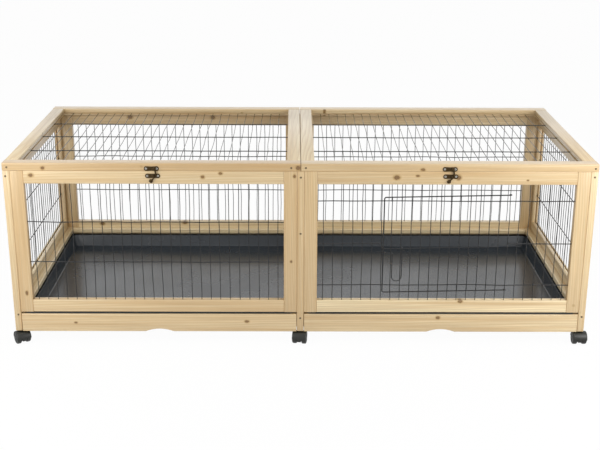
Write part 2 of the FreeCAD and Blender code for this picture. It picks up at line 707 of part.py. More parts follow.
def rounded_rectangle(sketch, width, depth, corner, y="0"):
    """A rectangle with round corners, whose sizes follow the sheet."""
    half_w, half_d, radius, shift = (value(f) for f in (f"{width} / 2", f"{depth} / 2", corner, y))
    quarter = math.pi / 2
    for turn, (sx, sy) in enumerate(((1, 1), (-1, 1), (-1, -1), (1, -1))):
        middle = FreeCAD.Vector(sx * (half_w - radius), sy * (half_d - radius) + shift, 0)
        arc = Part.ArcOfCircle(Part.Circle(middle, FreeCAD.Vector(0, 0, 1), radius),
                               turn * quarter, (turn + 1) * quarter)
        index = sketch.addGeometry(arc)
        pin(sketch, index, 3, f"{sx} * ({width} / 2 - {corner})", f"{sy} * ({depth} / 2 - {corner}) + {y}")
        rule = sketch.addConstraint(Sketcher.Constraint("Radius", index, radius))
        sketch.setExpression(f"Constraints[{rule}]", corner)
    for turn in range(4):
        following = (turn + 1) % 4
        side = Part.LineSegment(sketch.getPoint(turn, 2), sketch.getPoint(following, 1))
        index = sketch.addGeometry(side)
        sketch.addConstraint(Sketcher.Constraint("Tangent", turn, 2, index, 1))
        sketch.addConstraint(Sketcher.Constraint("Tangent", index, 2, following, 1))
    return sketch


def loft(kind, low, high):
    """A straight-sided loft between two sketches, added or cut out."""
    body = low.getParentGeoFeatureGroup()
    feature = body.newObject(f"PartDesign::{kind}", f"{body.Name}_{kind.lower()}")
    feature.Profile = low
    feature.Sections = [high]
    feature.Ruled = True
    body.Tip = feature
    return feature


def drawer(name, side):
    """A pull-out drawer: a front board with a finger notch, and the tray behind it."""
    x = f"{side} * {BAY_X}"
    board = new_body(f"{name}_drawer_front", x, f"-({HALF_DEPTH}) + size.board / 2")
    z = f"({BASE} - size.drawer_drop)"
    length = f"{BAY} - 2 * size.drawer_side_gap"
    plain = section("size.drawer_board", "size.board")
    stick(board, "X", length, plain, ("0", "0", f"{z} + size.drawer_board / 2"), True)
    bow = "(size.notch_width * size.notch_width / 8 / size.notch_height + size.notch_height / 2)"
    notch = circle(sketch_on(board, "Y"), "0", f"{z} + size.notch_height - {bow}", bow)
    extrude("Pocket", notch, "2 * size.board")
    tray = new_body(f"{name}_tray", x)
    flange_w = f"({BAY} - 2 * size.tray_side_gap)"
    inside_d = "(size.run_depth - 2 * size.board - size.tray_back_gap)"
    y = "(-size.tray_back_gap / 2)"
    lip = "(size.board - size.tray_lip_inset)"
    rim_w, rim_d = f"({flange_w} - 2 * size.tray_flange)", f"({inside_d} - 2 * size.tray_flange)"
    floor_w, floor_d = f"({rim_w} - 2 * size.tray_draft)", f"({rim_d} - 2 * size.tray_draft)"
    wall = "2 * size.tray_wall"
    flange_z = f"({TRAY_RIM} - size.tray_wall)"
    bottom_z = f"({TRAY_RIM} - size.tray_depth)"
    corner, outer_corner = "size.tray_corner", "(size.tray_corner + size.tray_wall)"

    def outline(height, width, depth, radius, middle=y):
        return rounded_rectangle(sketch_on(tray, "Z", height), width, depth, radius, middle)

    # The flange lies on the runners, and its front lip on the drawer's front board
    flange_d, flange_y = f"({inside_d} + {lip})", f"({y} - {lip} / 2)"
    flange = outline(flange_z, flange_w, flange_d, "(size.tray_corner / 2)", flange_y)
    extrude("Pad", flange, "size.tray_wall", symmetric=False)
    loft("AdditiveLoft", outline(bottom_z, f"({floor_w} + {wall})", f"({floor_d} + {wall})", outer_corner),
         outline(flange_z, f"({rim_w} + {wall})", f"({rim_d} + {wall})", outer_corner))
    loft("SubtractiveLoft", outline(f"{bottom_z} + size.tray_wall", floor_w, floor_d, corner),
         outline(TRAY_RIM, rim_w, rim_d, corner))


STEM_LOW = f"({BASE} - size.boss_gap - size.stem_in_hood)"
WEB_THICK = "(2 * (size.stem_radius + size.stem_gap + size.web_wall))"


def castor_stems():
    """Steel stems in the feet of the six posts."""
    body = new_body("castor_stems")
    sketch = sketch_on(body, "Z", STEM_LOW)
    for x in (f"-{CASTOR_X}", "0", CASTOR_X):
        for y in (f"-({CASTOR_Y})", CASTOR_Y):
            circle(sketch, x, y, "size.stem_radius")
    extrude("Pad", sketch, f"{BASE} + size.stem_in_post - {STEM_LOW}", symmetric=False)


def castor(name, x, y, out, turn):
    """A twin-wheel castor: a hooded housing turned on its stem, and a pair of wheels on one axle."""
    axle_y, axle_z = f"({out} * size.castor_trail)", "size.wheel_radius"
    inside = f"({WEB_THICK} + 2 * size.wheel_gap)"
    width = f"({inside} + 2 * size.wheel_width)"
    housing = new_body(f"{name}_castor_housing", x, y)
    inner = "(size.wheel_radius + size.hood_gap)"
    outer = f"({inner} + size.hood_wall)"
    angles = [180 / HOOD_STEPS * step for step in range(HOOD_STEPS + 1)]
    clear = f"({inner} / cos({90 / HOOD_STEPS}))"
    arch = [(f"{axle_y} + {outer} * cos({angle})", f"{axle_z} + {outer} * sin({angle})") for angle in angles]
    under = [(f"{axle_y} + {clear} * cos({angle})", f"{axle_z} + {clear} * sin({angle})") for angle in angles]
    extrude("Pad", polygon(sketch_on(housing, "X"), arch + under[::-1]), width)
    extrude("Pad", polygon(sketch_on(housing, "X"), arch), WEB_THICK)
    hub = regular(axle_y, axle_z, "size.web_radius", ROUND_SIDES)
    extrude("Pad", polygon(sketch_on(housing, "X"), hub), WEB_THICK)
    top, boss_low = f"({BASE} - size.boss_gap)", "(2 * size.wheel_radius + size.hood_gap)"
    boss = regular("0", "0", "size.boss_radius", ROUND_SIDES)
    extrude("Pad", polygon(sketch_on(housing, "Z", boss_low), boss), f"{top} - {boss_low}", symmetric=False)
    bore = round_about("0", "0", "size.stem_radius + size.stem_gap", ROUND_SIDES)
    socket = polygon(sketch_on(housing, "Z", top), bore)
    extrude("Pocket", socket, "size.stem_in_hood + size.stem_gap", symmetric=False)
    bearing = round_about(axle_y, axle_z, "size.axle_radius + size.axle_gap", ROUND_SIDES)
    extrude("Pocket", polygon(sketch_on(housing, "X"), bearing), f"2 * {WEB_THICK}")
    wheels = new_body(f"{name}_castor_wheels", x, y)
    axle = circle(sketch_on(wheels, "X"), axle_y, axle_z, "size.axle_radius")
    extrude("Pad", axle, f"{inside} + size.wheel_width")
    tread = round_about(axle_y, axle_z, "size.wheel_radius", WHEEL_SIDES)
    wheel = polygon(sketch_on(wheels, "X", f"{inside} / 2"), tread)
    mirror(wheels, [extrude("Pad", wheel, "size.wheel_width", symmetric=False)], "X")
    for body in (housing, wheels):
        body.setExpression("Placement.Rotation.Angle", turn)


for side_name, side_sign in SIDES.items():
    end_frame(side_name, side_sign)
centre_frame()
panel("front_left", -1, -1, PANEL_BOTTOM, "size.batten", 2, "size.front_cross_pitch")
door_opening(panel("front_right", 1, -1, PANEL_BOTTOM, "size.batten", 3,
                   "size.door_cross_pitch", "size.door_cross_shift"))
for side_name, side_sign in SIDES.items():
    panel(f"back_{side_name}", side_sign, 1, BASE, "size.back_board", 2, "size.back_cross_pitch")
ledges()
catch_plates()
for side_name, side_sign in SIDES.items():
    lid(side_name, side_sign)
    hinges(side_name, side_sign)
    lid_hook(side_name, side_sign)
    drawer(side_name, side_sign)
wire_door()
door_latch()
castor_stems()
for row_name, out_sign in (("front", -1), ("back", 1)):
    for column_name, column_sign in (("left", -1), ("centre", 0), ("right", 1)):
        turn_angle = TURNS.get((row_name, column_name), "0")
        castor(f"{row_name}_{column_name}", f"{column_sign} * {CASTOR_X}",
               f"{out_sign} * {CASTOR_Y}", out_sign, turn_angle)
doc.recompute()

for item in doc.Objects:
    if "Invalid" in item.State or "Error" in item.State:
        raise RuntimeError(f"{item.Label} failed: {item.State}")
for node in nodes:
    if node.Shape.isNull() or not node.Shape.isValid() or not node.Shape.Solids:
        raise RuntimeError(f"{node.Label} has no valid solid")
os.makedirs("parts", exist_ok=True)
for node in nodes:
    node.Shape.exportStep(f"parts/{node.Label}.step")
print(len(nodes), "nodes,", sum(len(node.Shape.Solids) for node in nodes), "solids")
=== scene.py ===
"""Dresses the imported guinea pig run: planed fir, coated wire, moulded trays, bronzed latches and castors."""
import json
import math

import bmesh
import bpy
from bpy.props import FloatProperty, FloatVectorProperty, PointerProperty
from mathutils import Matrix, Vector


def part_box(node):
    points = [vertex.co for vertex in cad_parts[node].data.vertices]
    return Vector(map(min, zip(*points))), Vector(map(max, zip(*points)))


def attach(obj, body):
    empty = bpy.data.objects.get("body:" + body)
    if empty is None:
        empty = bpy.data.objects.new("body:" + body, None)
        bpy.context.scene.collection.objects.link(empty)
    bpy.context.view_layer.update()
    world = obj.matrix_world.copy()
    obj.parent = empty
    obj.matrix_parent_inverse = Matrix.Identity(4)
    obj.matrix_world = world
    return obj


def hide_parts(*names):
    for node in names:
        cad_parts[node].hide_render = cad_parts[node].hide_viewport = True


bl_info = {
    "name": "Guinea pig run",
    "version": (1, 0, 0),
    "blender": (4, 5, 0),
    "location": "View3D > Sidebar > Run",
    "description": "Finishes and fine pieces for a timber guinea pig run with lids, trays and a wire door",
    "category": "Object",
}

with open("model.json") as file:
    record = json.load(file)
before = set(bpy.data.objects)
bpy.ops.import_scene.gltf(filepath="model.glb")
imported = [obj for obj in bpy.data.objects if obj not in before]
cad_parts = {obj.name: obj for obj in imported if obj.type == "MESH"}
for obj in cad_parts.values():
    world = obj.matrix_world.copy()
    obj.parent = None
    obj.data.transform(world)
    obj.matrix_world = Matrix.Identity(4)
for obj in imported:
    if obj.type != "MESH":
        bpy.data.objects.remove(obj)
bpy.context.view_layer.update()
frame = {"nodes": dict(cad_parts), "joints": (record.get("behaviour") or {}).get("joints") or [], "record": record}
NODES = frame["nodes"]
BODY_OF = {name: body for body, names in frame["record"]["behaviour"]["bodies"].items() for name in names}
JOINT_SPOTS = {joint["name"]: Vector(joint["pos_m"]) for joint in frame["joints"] if "pos_m" in joint}
MM = 0.001
# Vertices that are closer than this are one
MERGE = 1e-6
# Room for rounding in tests of where a vertex is
HAIR = 0.1 * MM
# Largest angle, in degrees, that is shaded smooth on a piece and on a wire
SMOOTH_ANGLE, WIRE_ANGLE = 38, 60
SIDES = {"left": -1, "right": 1}
ROWS = ("front", "back")
COLUMNS = ("left", "centre", "right")
# Turns that lay a cylinder, which is made upright, along each axis
LYING = {"X": (0, math.pi / 2, 0), "Y": (math.pi / 2, 0, 0), "Z": (0, 0, 0)}
# Outer face of the front timber and inner face of the back timber, in millimetres
FRONT_Y, BACK_Y = -323, 305


def linear(code):
    """A colour for a shader from an sRGB hex code."""
    parts = [int(code[index:index + 2], 16) / 255 for index in (1, 3, 5)]
    return tuple(part / 12.92 if part <= 0.04045 else ((part + 0.055) / 1.055) ** 2.4 for part in parts) + (1,)


def colour(name, code, description):
    """A colour that a user can change."""
    return FloatVectorProperty(name=name, description=description, subtype="COLOR", size=4, min=0, max=1,
                               default=linear(code))


def length(name, millimetres, description):
    """A size that a user can change."""
    return FloatProperty(name=name, description=description, subtype="DISTANCE", unit="LENGTH", min=0,
                         default=millimetres * MM)


class RunColours(bpy.types.PropertyGroup):
    """Colours of the run's finishes."""
    pale_stick: colour("Pale stick", "#F0DDB3", "The palest battens of the fir")
    warm_stick: colour("Warm stick", "#CDAF80", "The darkest battens of the fir")
    late_wood: colour("Late wood", "#BF975E", "Darker lines between the growth rings")
    knot: colour("Knot", "#78602A", "What a knot leaves of the wood's colour")
    wire: colour("Wire", "#0D0D0E", "Coated wire of the mesh and the door")
    tray: colour("Tray", "#2E343A", "Moulded trays")
    bronze: colour("Bronze", "#352A1B", "Latches of the lids")
    zinc: colour("Zinc", "#A9A69E", "Plate screws, hinges and castor stems")
    steel: colour("Steel", "#53493B", "Screws in the frame")
    castor: colour("Castor", "#171812", "Hoods and wheels of the castors")
    floor: colour("Floor", "#F4F4F4", "Studio floor")


class RunSizes(bpy.types.PropertyGroup):
    """Sizes of the pieces that the looks add."""
    arris: length("Arris", 0.6, "Rounding of each corner of the battens' eased edges")
    mesh_wire: length("Mesh wire", 1.8, "Thickness of the mesh wires")
    cross_wire: length("Cross wire", 2.6, "Thickness of the few mesh wires that cross the others")
    mesh_wave: length("Mesh wave", 4.5, "How far the mesh wires stray from straight")
    door_wire: length("Door wire", 3.2, "Thickness of the door's frame wire")
    door_upright: length("Door upright", 2, "Thickness of the wires inside the door's frame")
    latch_wire: length("Latch wire", 2.4, "Thickness of the door latch")
    hook_wire: length("Hook wire", 4, "Thickness of a lid hook")
    tray_wall: length("Tray wall", 2, "Thickness of a tray")
    tray_flange: length("Tray flange", 14, "Width of a tray's flat rim")
    # The lip is the rim lying on the drawer's front, stretched forward so that its dark plastic fills the gap under
    # the low rail: a dark strip that stands in for the shadow there
    tray_shade_lip: length("Tray lip", 16.5, "How much wider the rim is where it lies on the drawer's front")
    tray_draft: length("Tray draft", 10, "How far a tray's wall leans in towards its floor")
    tray_corner: length("Tray corner", 16, "Radius of a tray's upright corners")
    tray_fillet: length("Tray fillet", 4, "Radius between a tray's floor and its walls")
    frame_screw: length("Frame screw", 5, "Head width of the screws in the frame")
    plate_screw: length("Plate screw", 5.8, "Head width of the screws in plates and hinges")
    plate_waist: length("Plate waist", 10.4, "Height of a latch plate at its middle")
    wheel_dish: length("Wheel dish", 1.2, "Depth of the hollow in a castor wheel")


class RunSettings(bpy.types.PropertyGroup):
    """What a user can change on the run."""
    colours: PointerProperty(type=RunColours)
    sizes: PointerProperty(type=RunSizes)


def settings():
    """The run's settings in this file."""
    return bpy.context.scene.guinea_run


def node(tree, kind, inputs=None, **options):
    """Add a shader node, set its options, and link or set its inputs."""
    made = tree.nodes.new(f"ShaderNode{kind}")
    for name, option in options.items():
        setattr(made, name, option)
    for socket, source in (inputs or {}).items():
        if isinstance(source, bpy.types.NodeSocket):
            tree.links.new(source, made.inputs[socket])
        else:
            made.inputs[socket].default_value = source
    return made


def new_finish(name):
    """A new material and its empty tree."""
    material = bpy.data.materials.new(name)
    material.use_nodes = True
    material.node_tree.nodes.clear()
    return material, material.node_tree


def close_finish(tree, **sockets):
    """End a material in one principled shader."""
    inputs = {name.replace("_", " "): source for name, source in sockets.items()}
    shader = node(tree, "BsdfPrincipled", inputs)
    node(tree, "OutputMaterial", {"Surface": shader.outputs[0]})


# Knots of the fir in millimetres: X, Z, half width and half height
FRONT_RAIL_KNOTS = [
    (-647.5, 483.3, 4, 3.5), (-679, 464.2, 5, 4), (-247.3, 461, 4, 3.5), (-201.9, 470.2, 4, 3),
    (-6.7, 485.1, 5, 4.5), (242.1, 461, 6.5, 5), (294.8, 465.1, 4.5, 2.5), (306.7, 481.3, 5, 3),
    (397.5, 461.2, 5.5, 5.5), (572.7, 454, 2.5, 1.8), (418.8, 123.1, 5, 3.5), (-590.1, 61.3, 3.5, 2.2),
    (-140, 65.1, 4.5, 3), (362.2, 76.8, 4.5, 3.5),
]
BACK_RAIL_KNOTS = [(-519.3, 467.2, 7, 5), (-266.2, 466.5, 6, 5), (-622, 122.9, 6, 4), (-361, 126.9, 6, 4)]
FRONT_STILE_KNOTS = [(-712.4, 144.9, 3, 5), (-24, 234, 2.5, 3), (-15.7, 463.4, 3, 4)]
KNOT_DEPTH = 30


def knots_on(face, marks):
    """Knots that run into the wood from a face: X, Y, Z and the half sizes."""
    return [(x, face, z, wide, KNOT_DEPTH, tall) for x, z, wide, tall in marks]


# The last one is on top of a lid
RAIL_KNOTS = [*knots_on(FRONT_Y, FRONT_RAIL_KNOTS), *knots_on(BACK_Y, BACK_RAIL_KNOTS),
              (75, 289.4, 496, 3, 3, KNOT_DEPTH)]
STILE_KNOTS = knots_on(FRONT_Y, FRONT_STILE_KNOTS)
# A knot from its heart to twice its half size, and how much of the knot's colour it has there
KNOT_RINGS = ((0, 0.95), (0.13, 0.85), (0.2, 0.5), (0.36, 0.6), (0.43, 1), (0.52, 0.5), (0.62, 0.18), (1, 0))
# Turns, in degrees, that bring the grain from X to along a stick, and metres between the palest stick's wood and
# the warmest one's in the tree
GRAIN_TURNS = {"X": (0, 0, 0), "Y": (0, 0, -90), "Z": (0, 90, 0)}
STICK_SHIFT = (3.7, 1.9, 2.3)
# Distance between the rings of a Wave texture at scale 1
WAVE_PERIOD = 0.314


def planed_fir(axis, knots):
    """Planed fir under a thin clear coat: pale wood, long streaks, wandering ring lines and ringed knots."""
    tints = settings().colours
    material, tree = new_finish(f"planed_fir_{axis.lower()}")
    place = node(tree, "TexCoord").outputs["Object"]
    # Each stick is cut from another part of the tree
    tone = node(tree, "Attribute", attribute_name="stick_tone").outputs["Fac"]
    shift = node(tree, "VectorMath", {0: STICK_SHIFT, "Scale": tone}, operation="SCALE").outputs[0]
    own = node(tree, "VectorMath", {0: place, 1: shift}, operation="ADD").outputs[0]
    turn = [math.radians(angle) for angle in GRAIN_TURNS[axis]]
    grain = node(tree, "Mapping", {"Vector": own, "Rotation": turn}).outputs[0]

    def drawn_out(run, width, detail, rough=0.5):
        """Noise drawn out along the grain, as long and as wide as given in millimetres."""
        scale = [1 / (size * MM) for size in (run, width, width)]
        drawn = node(tree, "Mapping", {"Vector": grain, "Scale": scale}).outputs[0]
        return node(tree, "TexNoise", {"Vector": drawn, "Scale": 1, "Detail": detail,
                                       "Roughness": rough}).outputs["Fac"]

    # Clouds are 60 mm wide, streaks 11 mm, bundles of fibres 3 mm, and fibres 0.8 mm, coarser than real ones so
    # that they show
    cloud, streak, bundle = drawn_out(900, 60, 2), drawn_out(600, 11, 3), drawn_out(240, 3, 5, 0.65)
    fibre = drawn_out(70, 0.8, 3, 0.6)
    # The rings' heart lies outside the sticks and leans, so the lines run long and close in slow arches
    lean = node(tree, "Mapping", {"Vector": grain, "Rotation": (0, math.radians(1.6), math.radians(1.1)),
                                  "Location": (0, 0.071, 0.053)}).outputs[0]
    slow = node(tree, "Mapping", {"Vector": lean, "Scale": (0.12, 1, 1)}).outputs[0]
    ring_gap = 6 * MM
    rings = node(tree, "TexWave", {"Vector": slow, "Scale": WAVE_PERIOD / ring_gap, "Distortion": 5, "Detail": 2,
                                   "Detail Scale": 0.7}, wave_type="RINGS", rings_direction="X",
                 wave_profile="SAW")
    # Pin knots here and there
    pin_gap, pin_radius = 110 * MM, 3.5 * MM
    pins = node(tree, "TexVoronoi", {"Vector": grain, "Scale": 1 / pin_gap}).outputs["Distance"]
    near = node(tree, "Math", {0: pins, 1: pin_gap / pin_radius}, operation="MULTIPLY").outputs[0]
    # How far the nearest knot's heart is, in its own half sizes
    for x, y, z, *halves in knots:
        middle = [part * MM for part in (x, y, z)]
        gap = node(tree, "VectorMath", {0: place, 1: middle}, operation="SUBTRACT").outputs[0]
        spread = [1 / (half * MM) for half in halves]
        apart = node(tree, "VectorMath", {0: gap, 1: spread}, operation="MULTIPLY").outputs[0]
        distance = node(tree, "VectorMath", {0: apart}, operation="LENGTH").outputs["Value"]
        near = node(tree, "Math", {0: near, 1: distance}, operation="MINIMUM").outputs[0]
    line = node(tree, "MapRange", {"Value": rings.outputs["Fac"], "From Min": 0.3, "From Max": 1,
                                   "To Max": 0.42}, interpolation_type="SMOOTHSTEP").outputs[0]
    band = node(tree, "MapRange", {"Value": streak, "From Min": 0.44, "From Max": 0.72,
                                   "To Max": 0.66}).outputs[0]
    lines = node(tree, "Math", {0: line, 1: band}, operation="MAXIMUM").outputs[0]
    # The wood is darker round a knot
    halo = node(tree, "MapRange", {"Value": near, "From Min": 1, "From Max": 2.6, "To Min": 0.6,
                                   "To Max": 0}).outputs[0]
    lines = node(tree, "Math", {0: lines, 1: halo}, operation="MAXIMUM").outputs[0]
    patch = node(tree, "MapRange", {"Value": cloud, "From Min": 0.3, "From Max": 0.7, "To Min": -0.2,
                                    "To Max": 0.2}).outputs[0]
    warmth = node(tree, "Math", {0: tone, 1: patch}, operation="ADD", use_clamp=True).outputs[0]
    early = node(tree, "Mix", {0: warmth, 6: tints.pale_stick, 7: tints.warm_stick}, data_type="RGBA").outputs[2]
    wood = node(tree, "Mix", {0: lines, 6: early, 7: tints.late_wood}, data_type="RGBA").outputs[2]
    shade = node(tree, "MapRange", {"Value": bundle, "From Min": 0.3, "From Max": 0.7, "To Min": 0.88,
                                    "To Max": 1.06}).outputs[0]
    thread = node(tree, "MapRange", {"Value": fibre, "From Min": 0.3, "From Max": 0.7, "To Min": 0.92,
                                     "To Max": 1.05}).outputs[0]
    shade = node(tree, "Math", {0: shade, 1: thread}, operation="MULTIPLY").outputs[0]
    streaked = node(tree, "VectorMath", {0: wood, 1: shade}, operation="MULTIPLY").outputs[0]
    # Uneven rings: noise about 5 mm across shifts the distance from a knot's heart
    uneven = node(tree, "TexNoise", {"Vector": place, "Scale": 1 / (5 * MM), "Detail": 2}).outputs["Fac"]
    ragged = node(tree, "Math", {0: uneven, 1: 0.9, 2: near}, operation="MULTIPLY_ADD").outputs[0]
    reach = node(tree, "MapRange", {"Value": ragged, "From Min": 0.4, "From Max": 2.4}).outputs[0]
    ramp = node(tree, "ValToRGB", {"Fac": reach})
    stops = ramp.color_ramp.elements
    while len(stops) < len(KNOT_RINGS):
        stops.new(1)
    for stop, (position, dark) in zip(stops, KNOT_RINGS):
        stop.position, stop.color = position, (*(channel ** dark for channel in tints.knot[:3]), 1)
    knotted = node(tree, "VectorMath", {0: streaked, 1: ramp.outputs[0]}, operation="MULTIPLY").outputs[0]
    gloss = node(tree, "MapRange", {"Value": bundle, "To Min": 0.5, "To Max": 0.36}).outputs[0]
    bump = node(tree, "Bump", {"Height": fibre, "Strength": 0.15, "Distance": 0.3 * MM})
    close_finish(tree, Base_Color=knotted, Roughness=gloss, Normal=bump.outputs[0], IOR=1.5, Coat_Weight=0.9,
                 Coat_Roughness=0.32)
    return material


def coated_wire():
    """Powder-coated steel wire: near black with a low sheen and a fine orange peel."""
    material, tree = new_finish("black_coated_wire")
    place = node(tree, "TexCoord").outputs["Object"]
    # Orange peel about 1 mm across, and wear in stretches of about 33 mm
    peel = node(tree, "TexNoise", {"Vector": place, "Scale": 1 / (1 * MM), "Detail": 2})
    wear = node(tree, "TexNoise", {"Vector": place, "Scale": 1 / (33.3 * MM), "Detail": 3})
    gloss = node(tree, "MapRange", {"Value": wear.outputs["Fac"], "To Min": 0.08, "To Max": 0.16}).outputs[0]
    tint = node(tree, "Mix", {0: wear.outputs["Fac"], 6: settings().colours.wire, 7: linear("#161617")},
                data_type="RGBA").outputs[2]
    bump = node(tree, "Bump", {"Height": peel.outputs["Fac"], "Strength": 0.15, "Distance": 0.2 * MM})
    close_finish(tree, Base_Color=tint, Roughness=gloss, Normal=bump.outputs[0], IOR=1.5)
    return material


def moulded_plastic(name, tint, dull, bright, grit, relief):
    """Moulded plastic: even colour, a fine grained skin and faint flow marks in its gloss."""
    material, tree = new_finish(name)
    place = node(tree, "TexCoord").outputs["Object"]
    skin = node(tree, "TexNoise", {"Vector": place, "Scale": 1 / grit, "Detail": 2})
    # Flow marks about 200 mm long
    flow = node(tree, "TexNoise", {"Vector": place, "Scale": 1 / (200 * MM), "Detail": 4, "Roughness": 0.6})
    gloss = node(tree, "MapRange", {"Value": flow.outputs["Fac"], "From Min": 0.3, "From Max": 0.7,
                                    "To Min": dull, "To Max": bright}).outputs[0]
    shade = node(tree, "MapRange", {"Value": flow.outputs["Fac"], "From Min": 0.3, "From Max": 0.7,
                                    "To Min": 0.94, "To Max": 1.06}).outputs[0]
    mottled = node(tree, "VectorMath", {0: tint[:3], 1: shade}, operation="MULTIPLY").outputs[0]
    bump = node(tree, "Bump", {"Height": skin.outputs["Fac"], "Strength": relief, "Distance": 0.3 * MM})
    close_finish(tree, Base_Color=mottled, Roughness=gloss, Normal=bump.outputs[0], IOR=1.49)
    return material


def plated_metal(name, tint, worn, rough):
    """Plated or darkened metal: a rubbed sheen that differs over small patches."""
    material, tree = new_finish(name)
    place = node(tree, "TexCoord").outputs["Object"]
    # Rubbed patches about 3 mm across
    patches = node(tree, "TexNoise", {"Vector": place, "Scale": 1 / (3.03 * MM), "Detail": 4, "Roughness": 0.6})
    rubbed = node(tree, "MapRange", {"Value": patches.outputs["Fac"], "From Min": 0.4,
                                     "From Max": 0.72}).outputs[0]
    skin = node(tree, "Mix", {0: rubbed, 6: tint, 7: worn}, data_type="RGBA").outputs[2]
    gloss = node(tree, "MapRange", {"Value": patches.outputs["Fac"], "To Min": rough + 0.12,
                                    "To Max": rough - 0.1}).outputs[0]
    close_finish(tree, Base_Color=skin, Roughness=gloss, Metallic=0.9)
    return material


def finish(name):
    """A finish by name, made at its first use."""
    tints = settings().colours
    makers = {
        "planed_fir_x": lambda: planed_fir("X", RAIL_KNOTS),
        "planed_fir_y": lambda: planed_fir("Y", []),
        "planed_fir_z": lambda: planed_fir("Z", STILE_KNOTS),
        "black_coated_wire": coated_wire,
        "tray_polypropylene": lambda: moulded_plastic(name, tints.tray, dull=0.3, bright=0.22, grit=1.2 * MM,
                                                      relief=0.008),
        "castor_nylon": lambda: moulded_plastic(name, tints.castor, dull=0.5, bright=0.38, grit=0.8 * MM,
                                                relief=0.1),
        "darkened_bronze": lambda: plated_metal(name, tints.bronze, worn=linear("#574428"), rough=0.42),
        "zinc_plate": lambda: plated_metal(name, tints.zinc, worn=linear("#C6C3BA"), rough=0.38),
        "dull_steel": lambda: plated_metal(name, tints.steel, worn=linear("#85775F"), rough=0.5),
    }
    return bpy.data.materials.get(name) or makers[name]()


def solo(piece):
    """Make a piece the only selected and active object."""
    bpy.ops.object.select_all(action="DESELECT")
    piece.select_set(True)
    bpy.context.view_layer.objects.active = piece


def add(kind, name, **options):
    """Add a primitive at its size and place, with its place in its mesh."""
    bpy.ops.object.select_all(action="DESELECT")
    getattr(bpy.ops.mesh, f"primitive_{kind}_add")(**options)
    piece = bpy.context.object
    piece.name = piece.data.name = name
    bpy.ops.object.transform_apply(location=True, rotation=True, scale=True)
    return piece


def pick(piece, kind, test):
    """Select, in edit mode, the vertices, edges or faces that pass a test."""
    bpy.ops.mesh.select_mode(type=kind)
    bpy.ops.mesh.select_all(action="DESELECT")
    shape = bmesh.from_edit_mesh(piece.data)
    for item in {"VERT": shape.verts, "EDGE": shape.edges, "FACE": shape.faces}[kind]:
        if test(item):
            item.select_set(True)
    bmesh.update_edit_mesh(piece.data)


def modify(piece, kind, **options):
    """Add a modifier and apply it."""
    solo(piece)
    modifier = piece.modifiers.new(kind.lower(), kind)
    for name, option in options.items():
        setattr(modifier, name, option)
    bpy.ops.object.modifier_apply(modifier=modifier.name)


def copy_of(piece, name, matrix):
    """A copy with its own mesh, put in place."""
    twin = piece.copy()
    twin.data = piece.data.copy()
    twin.name = twin.data.name = name
    twin.data.transform(matrix)
    bpy.context.collection.objects.link(twin)
    return twin


def join(pieces, name):
    """One piece out of several."""
    bpy.ops.object.select_all(action="DESELECT")
    for piece in pieces:
        piece.select_set(True)
    bpy.context.view_layer.objects.active = pieces[0]
    bpy.ops.object.join()
    pieces[0].name = pieces[0].data.name = name
    return pieces[0]


def settle(piece, body, slot, finish_name, *replaced, angle=SMOOTH_ANGLE):
    """Finish a piece: smooth shading, its material if it has none, its body, and the nodes that it stands for."""
    solo(piece)
    bpy.ops.object.shade_smooth_by_angle(angle=math.radians(angle))
    if finish_name:
        piece.data.materials.clear()
        piece.data.materials.append(finish(finish_name))
    if replaced:
        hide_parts(*replaced)
    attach(piece, body)


def paint(names, finish_name):
    """Give CAD nodes a finish."""
    for name in names:
        data = NODES[name].data
        data.materials.clear()
        data.materials.append(finish(finish_name))


def drop(piece):
    """Take away a pattern that has been copied."""
    bpy.data.objects.remove(piece)


def axis_turn(axis, angle):
    """A turn about a main axis, in degrees."""
    return Matrix.Rotation(math.radians(angle), 4, axis)


class RunOperator(bpy.types.Operator):
    """Shared settings of the run's operators."""
    bl_options = {"REGISTER"}


# How warm each stick is, from 0 for the palest to 1, with a node's sticks counted along X, then Y, then Z
STICK_TONES = {
    "front_left_rails": (0.62, 0.56), "front_right_rails": (0.1, 0.62), "back_left_rails": (0.05, 0.6),
    "back_right_rails": (0.08, 0.5), "left_lid_rails": (0.85, 0.5), "right_lid_rails": (0.48, 0.45),
    "left_drawer_front": (0.55,), "right_drawer_front": (0.42,),
    "left_end_rails": (0.02, 0.5), "right_end_rails": (0.06, 0.45), "centre_rails": (0.5, 0.4),
    "left_lid_stiles": (0.3, 0.2), "right_lid_stiles": (0.24, 0.38),
    "tray_ledges": (0.1, 0.03, 0.3, 0.25, 0.07, 0.12), "tray_runners": (0.8, 0.7, 0.75, 0.85),
    "front_left_stiles": (0.8, 0.72), "front_right_stiles": (0.68, 0.88), "back_left_stiles": (0.6, 0.52),
    "back_right_stiles": (0.55, 0.65), "left_end_posts": (0.55, 0.5), "right_end_posts": (0.45, 0.45),
    "centre_posts": (0.72, 0.48),
}


def islands(shape):
    """The vertices of each separate piece in a mesh, in the order of their lowest corners."""
    waiting, groups = set(shape.verts), []
    while waiting:
        group, fresh = [], [waiting.pop()]
        while fresh:
            spot = fresh.pop()
            group.append(spot)
            beside = {edge.other_vert(spot) for edge in spot.link_edges} & waiting
            waiting -= beside
            fresh += beside
        groups.append(group)
    return sorted(groups, key=lambda group: [round(min(spot.co[i] for spot in group), 5) for i in range(3)])


def corners_of(group):
    """Lowest and highest corner of some vertices."""
    return [Vector(function(spot.co[i] for spot in group) for i in range(3)) for function in (min, max)]


def long_axis(low, high):
    """The axis along which a box is longest: 0, 1 or 2."""
    return max(range(3), key=lambda index: high[index] - low[index])


# How far the kerf around the inside of a lid reaches past the lid's mesh
KERF_ROOM = Vector((4, 4, 1.2)) * MM


